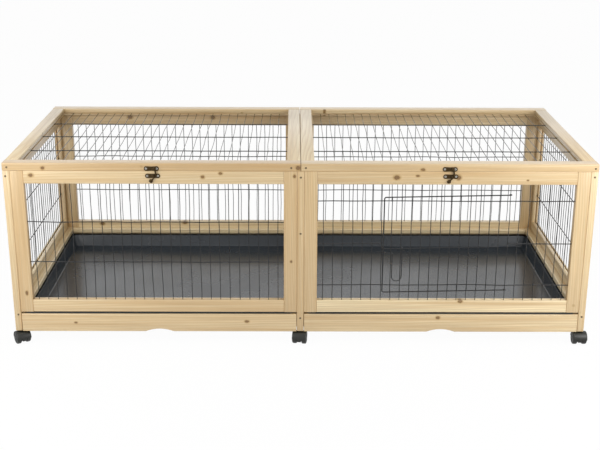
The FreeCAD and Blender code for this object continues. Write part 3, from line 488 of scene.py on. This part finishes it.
def planed(name, tones):
    """A copy of a node's sticks with their eased edges rounded, each stick with its own tone and grain."""
    piece = bpy.data.objects.new(f"{name}_planed", NODES[name].data.copy())
    piece.data.name = piece.name
    bpy.context.collection.objects.link(piece)
    solo(piece)
    bpy.ops.object.mode_set(mode="EDIT")
    bpy.ops.mesh.select_all(action="SELECT")
    bpy.ops.mesh.remove_doubles(threshold=MERGE)
    bpy.ops.mesh.dissolve_limited(angle_limit=math.radians(1))
    bpy.ops.object.mode_set(mode="OBJECT")
    modify(piece, "BEVEL", width=settings().sizes.arris, segments=2, limit_method="ANGLE",
           angle_limit=math.radians(40))
    if "_lid_" in name:
        # The lid's mesh sits in a saw kerf around the inside of its frame
        low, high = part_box(f"{name.split('_')[0]}_lid_mesh")
        cutter = add("cube", "kerf", size=1, location=(low + high) / 2, scale=high - low + KERF_ROOM)
        modify(piece, "BOOLEAN", operation="DIFFERENCE", object=cutter, solver="EXACT")
        drop(cutter)
    shape = bmesh.new()
    shape.from_mesh(piece.data)
    layer = shape.faces.layers.float.new("stick_tone")
    finishes = []
    for group, tone in zip(islands(shape), tones, strict=True):
        grain = f"planed_fir_{'xyz'[long_axis(*corners_of(group))]}"
        if grain not in finishes:
            finishes.append(grain)
        for face in {face for spot in group for face in spot.link_faces}:
            face[layer] = tone
            face.material_index = finishes.index(grain)
    piece.data.materials.clear()
    for grain in finishes:
        piece.data.materials.append(finish(grain))
    shape.to_mesh(piece.data)
    shape.free()
    return piece


class GUINEA_RUN_OT_timber(RunOperator):
    """Make the planed fir battens and boards, with the grain along each"""
    bl_idname = "guinea_run.timber"
    bl_label = "Timber"

    def execute(self, context):
        for name, tones in STICK_TONES.items():
            settle(planed(name, tones), BODY_OF[name], "timber", None, name)
        return {"FINISHED"}


def rods(name):
    """Low and high corner of each straight wire in a CAD node."""
    shape = bmesh.new()
    shape.from_mesh(NODES[name].data)
    bmesh.ops.remove_doubles(shape, verts=shape.verts, dist=MERGE)
    boxes = [corners_of(group) for group in islands(shape)]
    shape.free()
    return boxes


# How long the waves of the wires are along each axis, and how much they stray out of the flat of their panel
WAVES = {"X": 90 * MM, "Y": 70 * MM, "Z": 110 * MM}
STRAY_SHARE = 0.3


def round_mesh(name):
    """The node's wires as round ones, a little out of true, as one piece."""
    sizes = settings().sizes
    piece = None
    wires = rods(name)
    axes = [long_axis(low, high) for low, high in wires]
    for (low, high), axis in zip(wires, axes):
        # The few wires that cross the others are the thicker ones
        thick = sizes.cross_wire if axes.count(axis) < len(axes) / 2 else sizes.mesh_wire
        options = {"vertices": 8, "radius": thick / 2, "depth": (high - low)[axis], "location": (low + high) / 2,
                   "rotation": LYING["XYZ"[axis]]}
        if piece is None:
            piece = add("cylinder", f"{name}_wires", **options)
            solo(piece)
            bpy.ops.object.mode_set(mode="EDIT")
        else:
            bpy.ops.mesh.primitive_cylinder_add(**options)
    # The edges along the wires, which are far longer than those round them
    pick(piece, "EDGE", lambda edge: edge.calc_length() > 20 * MM)
    bpy.ops.mesh.subdivide(number_cuts=14)
    bpy.ops.object.mode_set(mode="OBJECT")
    low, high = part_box(name)
    across = min("XYZ", key=lambda axis: (high - low)["XYZ".index(axis)])
    for axis, wave in WAVES.items():
        cloud = bpy.data.textures.new(f"{name}_wave_{axis}", "CLOUDS")
        cloud.noise_scale = wave
        share = STRAY_SHARE if axis == across else 1
        modify(piece, "DISPLACE", texture=cloud, texture_coords="LOCAL", direction=axis,
               strength=share * sizes.mesh_wave, mid_level=0.5)
    return piece


class GUINEA_RUN_OT_mesh(RunOperator):
    """Make the welded mesh of the panels and the lids out of round wires"""
    bl_idname = "guinea_run.mesh"
    bl_label = "Wire mesh"

    def execute(self, context):
        bodies = {f"{side}_lid_mesh": f"{side}_lid" for side in SIDES}
        fixed = [f"{row}_{side}_mesh" for row in ROWS for side in SIDES] + [f"{side}_end_mesh" for side in SIDES]
        bodies.update({name: "run_frame" for name in fixed})
        for name, body in bodies.items():
            settle(round_mesh(name), body, "black_wire", "black_coated_wire", name, angle=WIRE_ANGLE)
        return {"FINISHED"}


def turned(middle, first, quarter, turn, steps):
    """Points on an arc about a middle, from first towards quarter."""
    angles = [turn * step / steps for step in range(steps + 1)]
    return [middle + first * math.cos(angle) + quarter * math.sin(angle) for angle in angles]


def bent(points, bend, steps=8):
    """Points along a wire that is bent round at each corner."""
    spots = points[:1]
    for before, corner, after in zip(points, points[1:], points[2:]):
        back, onward = (before - corner).normalized(), (after - corner).normalized()
        half = back.angle(onward) / 2
        middle = corner + (back + onward).normalized() * (bend / math.sin(half))
        first = corner + back * (bend / math.tan(half)) - middle
        spots += turned(middle, first, back * -bend, math.pi - 2 * half, steps)
    return spots + points[-1:]


def bent_wires(name, runs, thick):
    """Round wires along lines of points, as one mesh; each run has its own thickness."""
    curve = bpy.data.curves.new(name, "CURVE")
    curve.dimensions = "3D"
    curve.bevel_depth = thick / 2
    curve.bevel_resolution = 2
    curve.use_fill_caps = True
    for points, width in runs:
        spline = curve.splines.new("POLY")
        spline.points.add(len(points) - 1)
        for spot, point in zip(spline.points, points):
            spot.co = (*point, 1)
            spot.radius = width / thick
    piece = bpy.data.objects.new(name, curve)
    bpy.context.collection.objects.link(piece)
    solo(piece)
    bpy.ops.object.convert(target="MESH")
    piece.data.name = name
    return piece


# The door as in the CAD: its plane, its free side, half its height, how far the free side hangs down, where the
# middle wire is under the hinge's middle, and how the frame wire bends
DOOR_HINGE = JOINT_SPOTS["door_swing"]
DOOR_Y, DOOR_LEFT, DOOR_REACH = -320.1 * MM, 213 * MM, 129.5 * MM
DOOR_DROOP, MIDDLE_DROP = 6.5 * MM, 9 * MM
DOOR_BEND, EYE_LEAD = 4.5 * MM, 8 * MM
UPRIGHT_PITCH, UPRIGHTS = 25 * MM, 12
# How far the wire goes round in an eye, and in how many steps
EYE_TURN, EYE_STEPS = math.radians(220), 14
# The latch as in the CAD: its two legs, where its tongue turns back and ends, how far it hangs under the middle
# wire, its tongue's place under that, how far behind the door the tongue is, and its bends
LATCH_RIGHT, LATCH_LEFT, LATCH_TURN, LATCH_END = 261.4 * MM, 236.4 * MM, 218 * MM, 199.5 * MM
LATCH_DROP, TONGUE_DROP, TONGUE_Y, LATCH_BEND = 89 * MM, 12 * MM, -315 * MM, 2.6 * MM
# Wide enough for the slope of the middle wire that the eye slides on
LATCH_EYE = 2.8 * MM


def door_spot(x, rise):
    """A point of the hanging door."""
    drop = DOOR_DROOP * (DOOR_HINGE.x - x) / (DOOR_HINGE.x - DOOR_LEFT)
    return Vector((x, DOOR_Y, DOOR_HINGE.z + rise - drop))


class GUINEA_RUN_OT_door(RunOperator):
    """Make the wire door: a bent frame wire with its eyes, upright wires and a middle wire"""
    bl_idname = "guinea_run.door"
    bl_label = "Wire door"

    def execute(self, context):
        thick, thin = settings().sizes.door_wire, settings().sizes.door_upright
        eye = DOOR_HINGE.y - DOOR_Y
        forward, right = Vector((0, -eye, 0)), Vector((eye, 0, 0))
        eyes = [turned(DOOR_HINGE + Vector((0, 0, rise)), forward, right, EYE_TURN, EYE_STEPS)
                for rise in (DOOR_REACH, -DOOR_REACH)]
        top, bottom = (Vector((DOOR_HINGE.x - EYE_LEAD, DOOR_Y, DOOR_HINGE.z + rise))
                       for rise in (DOOR_REACH, -DOOR_REACH))
        corners = [eyes[0][0], top, door_spot(DOOR_LEFT, DOOR_REACH), door_spot(DOOR_LEFT, -DOOR_REACH), bottom,
                   eyes[1][0]]
        runs = [(eyes[0][:0:-1] + bent(corners, DOOR_BEND) + eyes[1][1:], thick)]
        uprights = [DOOR_HINGE.x - UPRIGHT_PITCH * count for count in range(1, UPRIGHTS + 1)]
        rises = [DOOR_REACH * (step / 4 - 1) for step in range(9)]
        runs += [([door_spot(x, rise) for rise in rises], thin) for x in uprights]
        runs.append(([door_spot(DOOR_LEFT, -MIDDLE_DROP), door_spot(uprights[0], -MIDDLE_DROP)], thin))
        piece = bent_wires("wire_door_round", runs, thick)
        settle(piece, "door", "black_wire", "black_coated_wire", "wire_door", angle=WIRE_ANGLE)
        return {"FINISHED"}


class GUINEA_RUN_OT_door_latch(RunOperator):
    """Make the sliding latch of the door out of one bent wire"""
    bl_idname = "guinea_run.door_latch"
    bl_label = "Door latch"

    def execute(self, context):
        thick = settings().sizes.latch_wire
        front, bow = DOOR_Y - LATCH_EYE, (LATCH_RIGHT - LATCH_LEFT) / 2
        middle = door_spot(LATCH_RIGHT, -MIDDLE_DROP).z
        low, tongue = middle - LATCH_DROP, middle - TONGUE_DROP
        loop = turned(Vector((LATCH_RIGHT, DOOR_Y, middle)), Vector((0, -LATCH_EYE, 0)), Vector((0, 0, LATCH_EYE)),
                      EYE_TURN, EYE_STEPS)
        pull = turned(Vector((LATCH_LEFT + bow, front, low + bow)), Vector((bow, 0, 0)), Vector((0, 0, -bow)),
                      math.pi, steps=18)
        rest = [pull[-1], Vector((LATCH_LEFT, front, tongue)), Vector((LATCH_TURN, front, tongue)),
                Vector((LATCH_TURN, TONGUE_Y, tongue)), Vector((LATCH_END, TONGUE_Y, tongue))]
        run = loop[::-1] + pull[:-1] + bent(rest, LATCH_BEND)
        piece = bent_wires("door_latch_round", [(run, thick)], thick)
        settle(piece, "latch", "black_wire", "black_coated_wire", "door_latch", angle=WIRE_ANGLE)
        return {"FINISHED"}


def moulded_tray(side):
    """A tray with leaning walls and a flat rim that is wider where it lies on the drawer's front; that wider lip's
    dark plastic also stands in for the shadow in the gap above the drawer.
    """
    sizes = settings().sizes
    flange, shade_lip = sizes.tray_flange, sizes.tray_shade_lip
    low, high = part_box(f"{side}_tray")
    rim_low = low + Vector((flange, flange + shade_lip, sizes.tray_wall))
    rim_high = high - Vector((flange, flange, 0))
    rim, middle = rim_high - rim_low, (rim_low + rim_high) / 2
    piece = add("cube", f"{side}_tray_moulded", size=1, location=middle, scale=rim)
    solo(piece)
    bpy.ops.object.mode_set(mode="EDIT")
    pick(piece, "FACE", lambda face: face.normal.z > 0.9)
    bpy.ops.mesh.delete(type="ONLY_FACE")
    pick(piece, "VERT", lambda spot: spot.co.z < middle.z)
    leaning = [1 - 2 * sizes.tray_draft / rim[index] for index in (0, 1)]
    bpy.ops.transform.resize(value=(*leaning, 1), center_override=middle)
    # The upright corners, and then the edge round the floor
    pick(piece, "EDGE", lambda edge: abs(edge.verts[0].co.z - edge.verts[1].co.z) > 1 * MM)
    bpy.ops.mesh.bevel(offset=sizes.tray_corner, segments=6, affect="EDGES")
    floor_z, rim_z = middle.z - rim.z / 2 + HAIR, high.z - HAIR
    pick(piece, "EDGE", lambda edge: all(spot.co.z < floor_z for spot in edge.verts))
    bpy.ops.mesh.bevel(offset=sizes.tray_fillet, segments=4, affect="EDGES")
    # The rim, drawn out all round and then further to the front, where it lies on the drawer's front and its dark
    # plastic is a painted shadow strip in the gap under the low rail
    pick(piece, "EDGE", lambda edge: all(spot.co.z > rim_z for spot in edge.verts))
    bpy.ops.mesh.extrude_edges_move()
    spread = [1 + 2 * flange / rim[index] for index in (0, 1)]
    bpy.ops.transform.resize(value=(*spread, 1), center_override=middle)
    pick(piece, "VERT", lambda spot: spot.co.y < middle.y and (
        spot.co.y < rim_low.y - 1 * MM or abs(spot.co.x - middle.x) > rim.x / 2 + 1 * MM))
    bpy.ops.transform.translate(value=(0, -shade_lip, 0))
    bpy.ops.mesh.select_all(action="SELECT")
    bpy.ops.mesh.normals_make_consistent(inside=False)
    bpy.ops.object.mode_set(mode="OBJECT")
    modify(piece, "SOLIDIFY", thickness=sizes.tray_wall, offset=1, use_even_offset=True)
    modify(piece, "BEVEL", width=0.6 * MM, segments=2, limit_method="ANGLE", angle_limit=math.radians(50))
    return piece


class GUINEA_RUN_OT_trays(RunOperator):
    """Make the moulded trays: leaning walls, rounded corners, a filleted floor and a flat rim"""
    bl_idname = "guinea_run.trays"
    bl_label = "Trays"

    def execute(self, context):
        for side in SIDES:
            settle(moulded_tray(side), f"{side}_drawer", "tray_plastic", "tray_polypropylene", f"{side}_tray")
        return {"FINISHED"}


def screw_head(name, width):
    """A pan head about the origin that looks to -Y, with a cross recess."""
    radius = width / 2
    head = add("cylinder", name, vertices=18, radius=radius, depth=radius * 0.5, rotation=LYING["Y"])
    solo(head)
    bpy.ops.object.mode_set(mode="EDIT")
    pick(head, "EDGE", lambda edge: all(spot.co.y < 0 for spot in edge.verts))
    bpy.ops.mesh.bevel(offset=radius * 0.22, segments=2, affect="EDGES")
    bpy.ops.object.mode_set(mode="OBJECT")
    # The two arms of the cross, in head radii
    for shape in ((1.1, 0.5, 0.24), (0.24, 0.5, 1.1)):
        slot = add("cube", "recess", size=1, location=(0, -radius * 0.25, 0),
                   scale=[radius * part for part in shape])
        modify(head, "BOOLEAN", object=slot, operation="DIFFERENCE", solver="EXACT")
        drop(slot)
    return head


def screws(head, name, body, finish_name, places):
    """Copies of a screw head at places, each with the turn that points it, as one piece."""
    heads = [copy_of(head, f"{name}_{index}", matrix) for index, matrix in enumerate(places)]
    settle(join(heads, name), body, "hinge_steel", finish_name)


def front_spot(x, z, turn, y=FRONT_Y):
    """A place on the front, in millimetres, with a turn in degrees about the line into it."""
    return Matrix.Translation(Vector((x, y, z)) * MM) @ axis_turn("Y", turn)


# Screws in millimetres: X and Z in the posts, with the turn of the cross in degrees, and X in the lids' rails
POST_SCREWS = [(-742.7, 461.7, 20), (741.2, 462.4, 65), (0.2, 460.1, 40), (0, 310, 10), (0, 75, 70),
               (-739.4, 83.9, 33), (741.3, 79.9, 5)]
LID_SCREWS = {"left": (-738, -24), "right": (12.6, 741.5)}
LID_SCREW_Z = 485
# Latch plates: their middle in each half, the heights of the hook's and the catch's, how far the catch is to the
# right, and their screws, sunk so that a hook can swing over them
PLATE_X, HOOK_Z, CATCH_Z, CATCH_SHIFT = 375, 482.7, 463.7, 2.5
PLATE_HOLE, SUNK_Y = 13.4, -323.7
# Hinges: their places about the middle of a lid, and their screws, with the heights in the lid's and the fixed leaf
HINGE_X, HINGE_HOLE, LEAF_HEIGHTS, LEAF_Y = 230, 11, (487.5, 464.5), -324.9


class GUINEA_RUN_OT_screws(RunOperator):
    """Put screws in the posts, the lid rails, the latch plates and the hinges"""
    bl_idname = "guinea_run.screws"
    bl_label = "Screws"

    def execute(self, context):
        sizes = settings().sizes
        back = axis_turn("Z", 180)
        # A cross stops anyhow in its hole, so most turns are taken from the places
        large = screw_head("frame_screw", sizes.frame_screw)
        places = [front_spot(*post) for post in POST_SCREWS]
        places += [back @ place for place in places]
        screws(large, "post_screws", "run_frame", "dull_steel", places)
        for side, ends in LID_SCREWS.items():
            places = [front_spot(x, LID_SCREW_Z, x % 90) for x in ends]
            places += [back @ front_spot(-x, LID_SCREW_Z, x % 50) for x in ends]
            screws(large, f"{side}_lid_screws", f"{side}_lid", "dull_steel", places)
        drop(large)
        small = screw_head("plate_screw", sizes.plate_screw)
        frame_places = []
        for side, sign in SIDES.items():
            middle = sign * PLATE_X
            ends = (-PLATE_HOLE, PLATE_HOLE)
            lid_places = [front_spot(middle + end, HOOK_Z, 30 + end, SUNK_Y) for end in ends]
            frame_places += [front_spot(middle + CATCH_SHIFT + end, CATCH_Z, 50 - end, SUNK_Y) for end in ends]
            holes = [(middle + hinge + hole, hole * 3) for hinge in (-HINGE_X, HINGE_X)
                     for hole in (-HINGE_HOLE, HINGE_HOLE)]
            for places, z in zip((lid_places, frame_places), LEAF_HEIGHTS):
                places += [back @ front_spot(-x, z, turn, LEAF_Y) for x, turn in holes]
            screws(small, f"{side}_lid_hardware_screws", f"{side}_lid", "zinc_plate", lid_places)
        screws(small, "frame_hardware_screws", "run_frame", "zinc_plate", frame_places)
        drop(small)
        return {"FINISHED"}


# A latch plate's thickness, how far a pin's head stands before the face that the plate is on, and its thickness
PLATE_THICK, HEAD_BACK, HEAD_THICK = 1.2 * MM, 5.8 * MM, 1 * MM
# Line of a hook from its pivot, in millimetres: X and Z
HOOK_LINE = [(0, 0), (2.8, -8.5), (2.8, -19), (-9.4, -31.8)]


def latch_plate(waist):
    """A latch plate about the origin, with its back on the XZ plane: two round ends and a narrow waist."""
    low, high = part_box("left_hook_plate")
    half_width, half_height = (high.x - low.x) / 2, (high.z - low.z) / 2
    plate = add("cylinder", "latch_plate", vertices=32, radius=half_height, depth=PLATE_THICK,
                location=(0, -PLATE_THICK / 2, 0), rotation=LYING["Y"])
    solo(plate)
    bpy.ops.object.mode_set(mode="EDIT")
    for sign in SIDES.values():
        pick(plate, "VERT", lambda spot: spot.co.x * sign > HAIR)
        bpy.ops.transform.translate(value=(sign * (half_width - half_height), 0, 0))
    pick(plate, "VERT", lambda spot: abs(spot.co.x) < HAIR)
    bpy.ops.transform.resize(value=(1, 1, waist / 2 / half_height), center_override=(0, 0, 0))
    pick(plate, "EDGE", lambda edge: all(spot.co.y < -PLATE_THICK / 2 for spot in edge.verts))
    bpy.ops.mesh.bevel(offset=0.35 * MM, segments=2, affect="EDGES")
    bpy.ops.object.mode_set(mode="OBJECT")
    return plate


def headed_pin(name, x, radius, head_radius):
    """A pin that stands out of a plate to the front, with a domed head; sizes in millimetres."""
    shank = add("cylinder", name, vertices=16, radius=radius * MM, depth=HEAD_BACK - PLATE_THICK,
                location=(x * MM, -(HEAD_BACK + PLATE_THICK) / 2, 0), rotation=LYING["Y"])
    head_y = -HEAD_BACK - HEAD_THICK / 2
    head = add("cylinder", f"{name}_head", vertices=20, radius=head_radius * MM, depth=HEAD_THICK,
               location=(x * MM, head_y, 0), rotation=LYING["Y"])
    solo(head)
    bpy.ops.object.mode_set(mode="EDIT")
    pick(head, "EDGE", lambda edge: all(spot.co.y < head_y for spot in edge.verts))
    bpy.ops.mesh.bevel(offset=0.7 * MM, segments=3, affect="EDGES")
    bpy.ops.object.mode_set(mode="OBJECT")
    return join([shank, head], name)


class GUINEA_RUN_OT_lid_latches(RunOperator):
    """Make the latches of the lids: hook plates, swinging hooks with a ball end, and catch plates with studs"""
    bl_idname = "guinea_run.lid_latches"
    bl_label = "Lid latches"

    def execute(self, context):
        sizes = settings().sizes
        plate = latch_plate(sizes.plate_waist)
        pivot = headed_pin("pivot", x=7.5, radius=1.6, head_radius=3)
        stud = headed_pin("stud", x=2, radius=1.8, head_radius=3.2)
        path = [Vector((x, 0, z)) * MM for x, z in HOOK_LINE]
        arm = bent_wires("hook", [(bent(path, bend=4 * MM, steps=5), sizes.hook_wire)], sizes.hook_wire)
        eye = add("cylinder", "hook_eye", vertices=24, radius=4 * MM, depth=4 * MM, rotation=LYING["Y"])
        modify(eye, "BEVEL", width=0.8 * MM, segments=2, limit_method="ANGLE")
        ball = add("uv_sphere", "hook_ball", segments=20, ring_count=12, radius=5 * MM, location=path[-1],
                   scale=(1, 0.4, 1))
        hook = join([arm, eye, ball], "hook")
        catches = []
        for side, sign in SIDES.items():
            lift = front_spot(sign * PLATE_X, HOOK_Z, 0)
            piece = join([copy_of(plate, "plate_copy", lift), copy_of(pivot, "pivot_copy", lift)],
                         f"{side}_hook_plate_bronzed")
            settle(piece, f"{side}_lid", "bronzed_metal", "darkened_bronze", f"{side}_hook_plate")
            piece = copy_of(hook, f"{side}_hook_bronzed", Matrix.Translation(JOINT_SPOTS[f"{side}_hook_turn"]))
            settle(piece, f"{side}_hook_arm", "bronzed_metal", "darkened_bronze", f"{side}_hook", angle=WIRE_ANGLE)
            down = front_spot(sign * PLATE_X + CATCH_SHIFT, CATCH_Z, 0)
            catches += [copy_of(plate, "catch_copy", down), copy_of(stud, "stud_copy", down)]
        catches = join(catches, "catch_plates_bronzed")
        settle(catches, "run_frame", "bronzed_metal", "darkened_bronze", "catch_plates")
        for pattern in (plate, pivot, stud, hook):
            drop(pattern)
        return {"FINISHED"}


class GUINEA_RUN_OT_hinges(RunOperator):
    """Give the hinges and the castor stems their zinc plate"""
    bl_idname = "guinea_run.hinges"
    bl_label = "Hinges and stems"

    def execute(self, context):
        parts = ("hinge_fixed_leaves", "hinge_pins", "lid_hinge_leaves")
        paint([f"{side}_{part}" for side in SIDES for part in parts] + ["castor_stems"], "zinc_plate")
        return {"FINISHED"}


# A castor about its stem, on the floor: how far the axle trails, the wheels and half the gap between them, the hood
# over them, the web in the gap and how high it ends, and the boss round the stem with the height of its middle
TRAIL, WHEEL_RADIUS, WHEEL_WIDTH, WHEEL_INNER = 9 * MM, 16 * MM, 13 * MM, 5.8 * MM
AXLE_SPOT = Vector((0, -TRAIL, WHEEL_RADIUS))
HOOD_RADIUS, HOOD_WIDTH, HOOD_WALL = 19 * MM, 37.6 * MM, 1.7 * MM
WEB_RADIUS, WEB_WIDTH, WEB_FOOT = 18 * MM, 11 * MM, 9 * MM
BOSS_RADIUS, BOSS_HEIGHT, BOSS_Z = 8 * MM, 4.5 * MM, 35.25 * MM
# How each castor stands, in degrees; the others stand straight
CASTOR_TURNS = {"front_left": 33, "back_right": 33, "front_centre": -8, "back_centre": -8}


def goes_round(edge):
    """Whether an edge goes round a cylinder that lies along X."""
    return abs(edge.verts[0].co.x - edge.verts[1].co.x) < MERGE


def castor_wheels(dish):
    """A pair of rounded wheels with dished sides on their axle."""
    axle = add("cylinder", "axle", vertices=16, radius=2.5 * MM, depth=2 * WHEEL_INNER + WHEEL_WIDTH,
               location=AXLE_SPOT, rotation=LYING["X"])
    wheels = [axle]
    for sign in SIDES.values():
        middle = AXLE_SPOT + Vector((sign * (WHEEL_INNER + WHEEL_WIDTH / 2), 0, 0))
        wheel = add("cylinder", "wheel", vertices=40, radius=WHEEL_RADIUS, depth=WHEEL_WIDTH, location=middle,
                    rotation=LYING["X"])
        solo(wheel)
        bpy.ops.object.mode_set(mode="EDIT")
        pick(wheel, "EDGE", goes_round)
        bpy.ops.mesh.bevel(offset=4 * MM, segments=5, affect="EDGES")
        # The outer side: a rim, a hollow and a hub
        pick(wheel, "FACE", lambda face: face.normal.x * sign > 0.9 and face.calc_area() > 100 * MM ** 2)
        bpy.ops.mesh.inset(thickness=1.5 * MM)
        bpy.ops.mesh.inset(thickness=1 * MM)
        bpy.ops.transform.translate(value=(-sign * dish, 0, 0))
        bpy.ops.mesh.inset(thickness=4 * MM)
        bpy.ops.mesh.inset(thickness=0.8 * MM)
        bpy.ops.transform.translate(value=(sign * dish * 0.8, 0, 0))
        bpy.ops.object.mode_set(mode="OBJECT")
        wheels.append(wheel)
    return join(wheels, "castor_wheels")


def castor_hood():
    """A castor's housing: an arched hood over the wheels, a web between them and a boss for the stem."""
    hood = add("cylinder", "hood", vertices=48, radius=HOOD_RADIUS, depth=HOOD_WIDTH, location=AXLE_SPOT,
               rotation=LYING["X"])
    solo(hood)
    bpy.ops.object.mode_set(mode="EDIT")
    pick(hood, "EDGE", goes_round)
    bpy.ops.mesh.bevel(offset=3 * MM, segments=4, affect="EDGES")
    pick(hood, "FACE", lambda face: abs(face.normal.x) > 0.99)
    bpy.ops.mesh.delete(type="ONLY_FACE")
    bpy.ops.mesh.select_all(action="SELECT")
    bpy.ops.mesh.bisect(plane_co=AXLE_SPOT, plane_no=(0, 0, 1), clear_inner=True)
    bpy.ops.object.mode_set(mode="OBJECT")
    modify(hood, "SOLIDIFY", thickness=HOOD_WALL, offset=-1)
    modify(hood, "BEVEL", width=0.6 * MM, segments=2, limit_method="ANGLE")
    web = add("cylinder", "web", vertices=40, radius=WEB_RADIUS, depth=WEB_WIDTH, location=AXLE_SPOT,
              rotation=LYING["X"])
    solo(web)
    bpy.ops.object.mode_set(mode="EDIT")
    bpy.ops.mesh.select_all(action="SELECT")
    bpy.ops.mesh.bisect(plane_co=(0, 0, WEB_FOOT), plane_no=(0, 0, 1), clear_inner=True, use_fill=True)
    bpy.ops.object.mode_set(mode="OBJECT")
    boss = add("cylinder", "boss", vertices=24, radius=BOSS_RADIUS, depth=BOSS_HEIGHT, location=(0, 0, BOSS_Z))
    for piece in (web, boss):
        modify(piece, "BEVEL", width=0.8 * MM, segments=2, limit_method="ANGLE")
    return join([hood, web, boss], "castor_hood")


class GUINEA_RUN_OT_castors(RunOperator):
    """Make the six castors: one pair of wheels and one hood, copied to each post"""
    bl_idname = "guinea_run.castors"
    bl_label = "Castors"

    def execute(self, context):
        wheels, hood = castor_wheels(settings().sizes.wheel_dish), castor_hood()
        for row in ROWS:
            for column in COLUMNS:
                name = f"{row}_{column}"
                turn = CASTOR_TURNS.get(name, 0) + (180 if row == "back" else 0)
                stem = JOINT_SPOTS[f"{name}_swivel"]
                matrix = Matrix.Translation((stem.x, stem.y, 0)) @ axis_turn("Z", turn)
                settle(copy_of(wheels, f"{name}_twin_wheels", matrix), f"{name}_wheels", "castor_plastic",
                       "castor_nylon", f"{name}_castor_wheels")
                settle(copy_of(hood, f"{name}_hood", matrix), f"{name}_castor", "castor_plastic",
                       "castor_nylon", f"{name}_castor_housing")
        drop(wheels)
        drop(hood)
        return {"FINISHED"}


WHITE = (1, 1, 1, 1)
# Share of plain white in what the camera sees of the floor, which leaves enough of the lit paper for a soft shadow
FLOOR_WHITE = 0.97
SKY_LIGHT = 0.42
# Lamps: place and target in metres, width, height and power. One is near each end, so that the ends are brighter
# than the middle, and a low strip gives the light lines on the lids' wires
LAMPS = {
    "left_light": ((-1.15, -0.95, 0.85), (-0.5, -0.3, 0.3), 0.8, 0.8, 8.8),
    "right_light": ((1.2, -0.95, 0.85), (0.5, -0.3, 0.3), 0.8, 0.8, 10.5),
    "top_light": ((0, -0.2, 2.6), (0, 0, 0.3), 2, 2, 9),
    "back_light": ((0, 3.2, 1.22), (0, 0, 0.45), 4.4, 0.2, 3),
}
# The camera as fitted to the frame's edges: place in metres, turns in degrees, sensor and lens in millimetres
CAMERA_SPOT = (-0.0171, -2.9463, 1.2303)
CAMERA_PAN, CAMERA_TILT, CAMERA_ROLL = -0.339, 71.137, 0.248
SENSOR_WIDTH, LENS = 36, 65.13


class GUINEA_RUN_OT_stage(RunOperator):
    """Set up the floor, the soft lights, the white backdrop and the camera"""
    bl_idname = "guinea_run.stage"
    bl_label = "Stage"

    def seen_directly(self, tree):
        """1 for camera, mirror and see-through rays, else 0."""
        path = node(tree, "LightPath").outputs
        pair = node(tree, "Math", {0: path["Is Camera Ray"], 1: path["Is Glossy Ray"]}, operation="MAXIMUM")
        return node(tree, "Math", {0: pair.outputs[0], 1: path["Is Transmission Ray"]},
                    operation="MAXIMUM").outputs[0]

    def execute(self, context):
        scene = context.scene
        scene.view_settings.view_transform = "Standard"
        floor = add("plane", "studio_floor", size=30)
        floor.data.materials.clear()
        material, tree = new_finish("studio_floor")
        paper = node(tree, "BsdfDiffuse", {"Color": settings().colours.floor}).outputs[0]
        glow = node(tree, "Emission", {"Color": WHITE, "Strength": 1.0}).outputs[0]
        share = node(tree, "Math", {0: self.seen_directly(tree), 1: FLOOR_WHITE}, operation="MULTIPLY").outputs[0]
        mixed = node(tree, "MixShader", {0: share, 1: paper, 2: glow}).outputs[0]
        node(tree, "OutputMaterial", {"Surface": mixed})
        floor.data.materials.append(material)
        world = bpy.data.worlds.new("studio")
        world.use_nodes = True
        scene.world = world
        tree = world.node_tree
        tree.nodes.clear()
        light = node(tree, "Background", {"Color": WHITE, "Strength": SKY_LIGHT}).outputs[0]
        white = node(tree, "Background", {"Color": WHITE, "Strength": 1.0}).outputs[0]
        mixed = node(tree, "MixShader", {0: self.seen_directly(tree), 1: light, 2: white}).outputs[0]
        node(tree, "OutputWorld", {"Surface": mixed})
        for name, (place, target, wide, tall, power) in LAMPS.items():
            bpy.ops.object.light_add(type="AREA", location=place)
            lamp = context.object
            lamp.name = lamp.data.name = name
            lamp.data.shape = "RECTANGLE"
            lamp.data.size, lamp.data.size_y = wide, tall
            lamp.data.energy = power
            lamp.visible_camera = False
            lamp.rotation_euler = (Vector(target) - Vector(place)).to_track_quat("-Z", "Y").to_euler()
        turn = axis_turn("Z", CAMERA_PAN) @ axis_turn("X", CAMERA_TILT) @ axis_turn("Z", CAMERA_ROLL)
        bpy.ops.object.camera_add(location=CAMERA_SPOT, rotation=turn.to_euler())
        camera = context.object
        camera.name = camera.data.name = "photo_camera"
        camera.data.sensor_width = SENSOR_WIDTH
        camera.data.lens = LENS
        scene.camera = camera
        return {"FINISHED"}


OPERATORS = (GUINEA_RUN_OT_timber, GUINEA_RUN_OT_mesh, GUINEA_RUN_OT_door, GUINEA_RUN_OT_door_latch,
             GUINEA_RUN_OT_trays, GUINEA_RUN_OT_lid_latches, GUINEA_RUN_OT_screws, GUINEA_RUN_OT_hinges,
             GUINEA_RUN_OT_castors, GUINEA_RUN_OT_stage)


class GUINEA_RUN_PT_panel(bpy.types.Panel):
    """The run's operators and settings in the sidebar"""
    bl_label = "Guinea pig run"
    bl_idname = "GUINEA_RUN_PT_panel"
    bl_space_type = "VIEW_3D"
    bl_region_type = "UI"
    bl_category = "Run"

    def draw(self, context):
        column = self.layout.column()
        for operator in OPERATORS:
            column.operator(operator.bl_idname)
        for group in (settings().sizes, settings().colours):
            for name in group.__annotations__:
                column.prop(group, name)


CLASSES = (RunColours, RunSizes, RunSettings, *OPERATORS, GUINEA_RUN_PT_panel)


def register():
    for item in CLASSES:
        bpy.utils.register_class(item)
    bpy.types.Scene.guinea_run = PointerProperty(type=RunSettings)


def unregister():
    del bpy.types.Scene.guinea_run
    for item in reversed(CLASSES):
        bpy.utils.unregister_class(item)


def main():
    register()
    for operator in OPERATORS:
        group, name = operator.bl_idname.split(".")
        getattr(getattr(bpy.ops, group), name)()


if __name__ == "__main__":
    main()
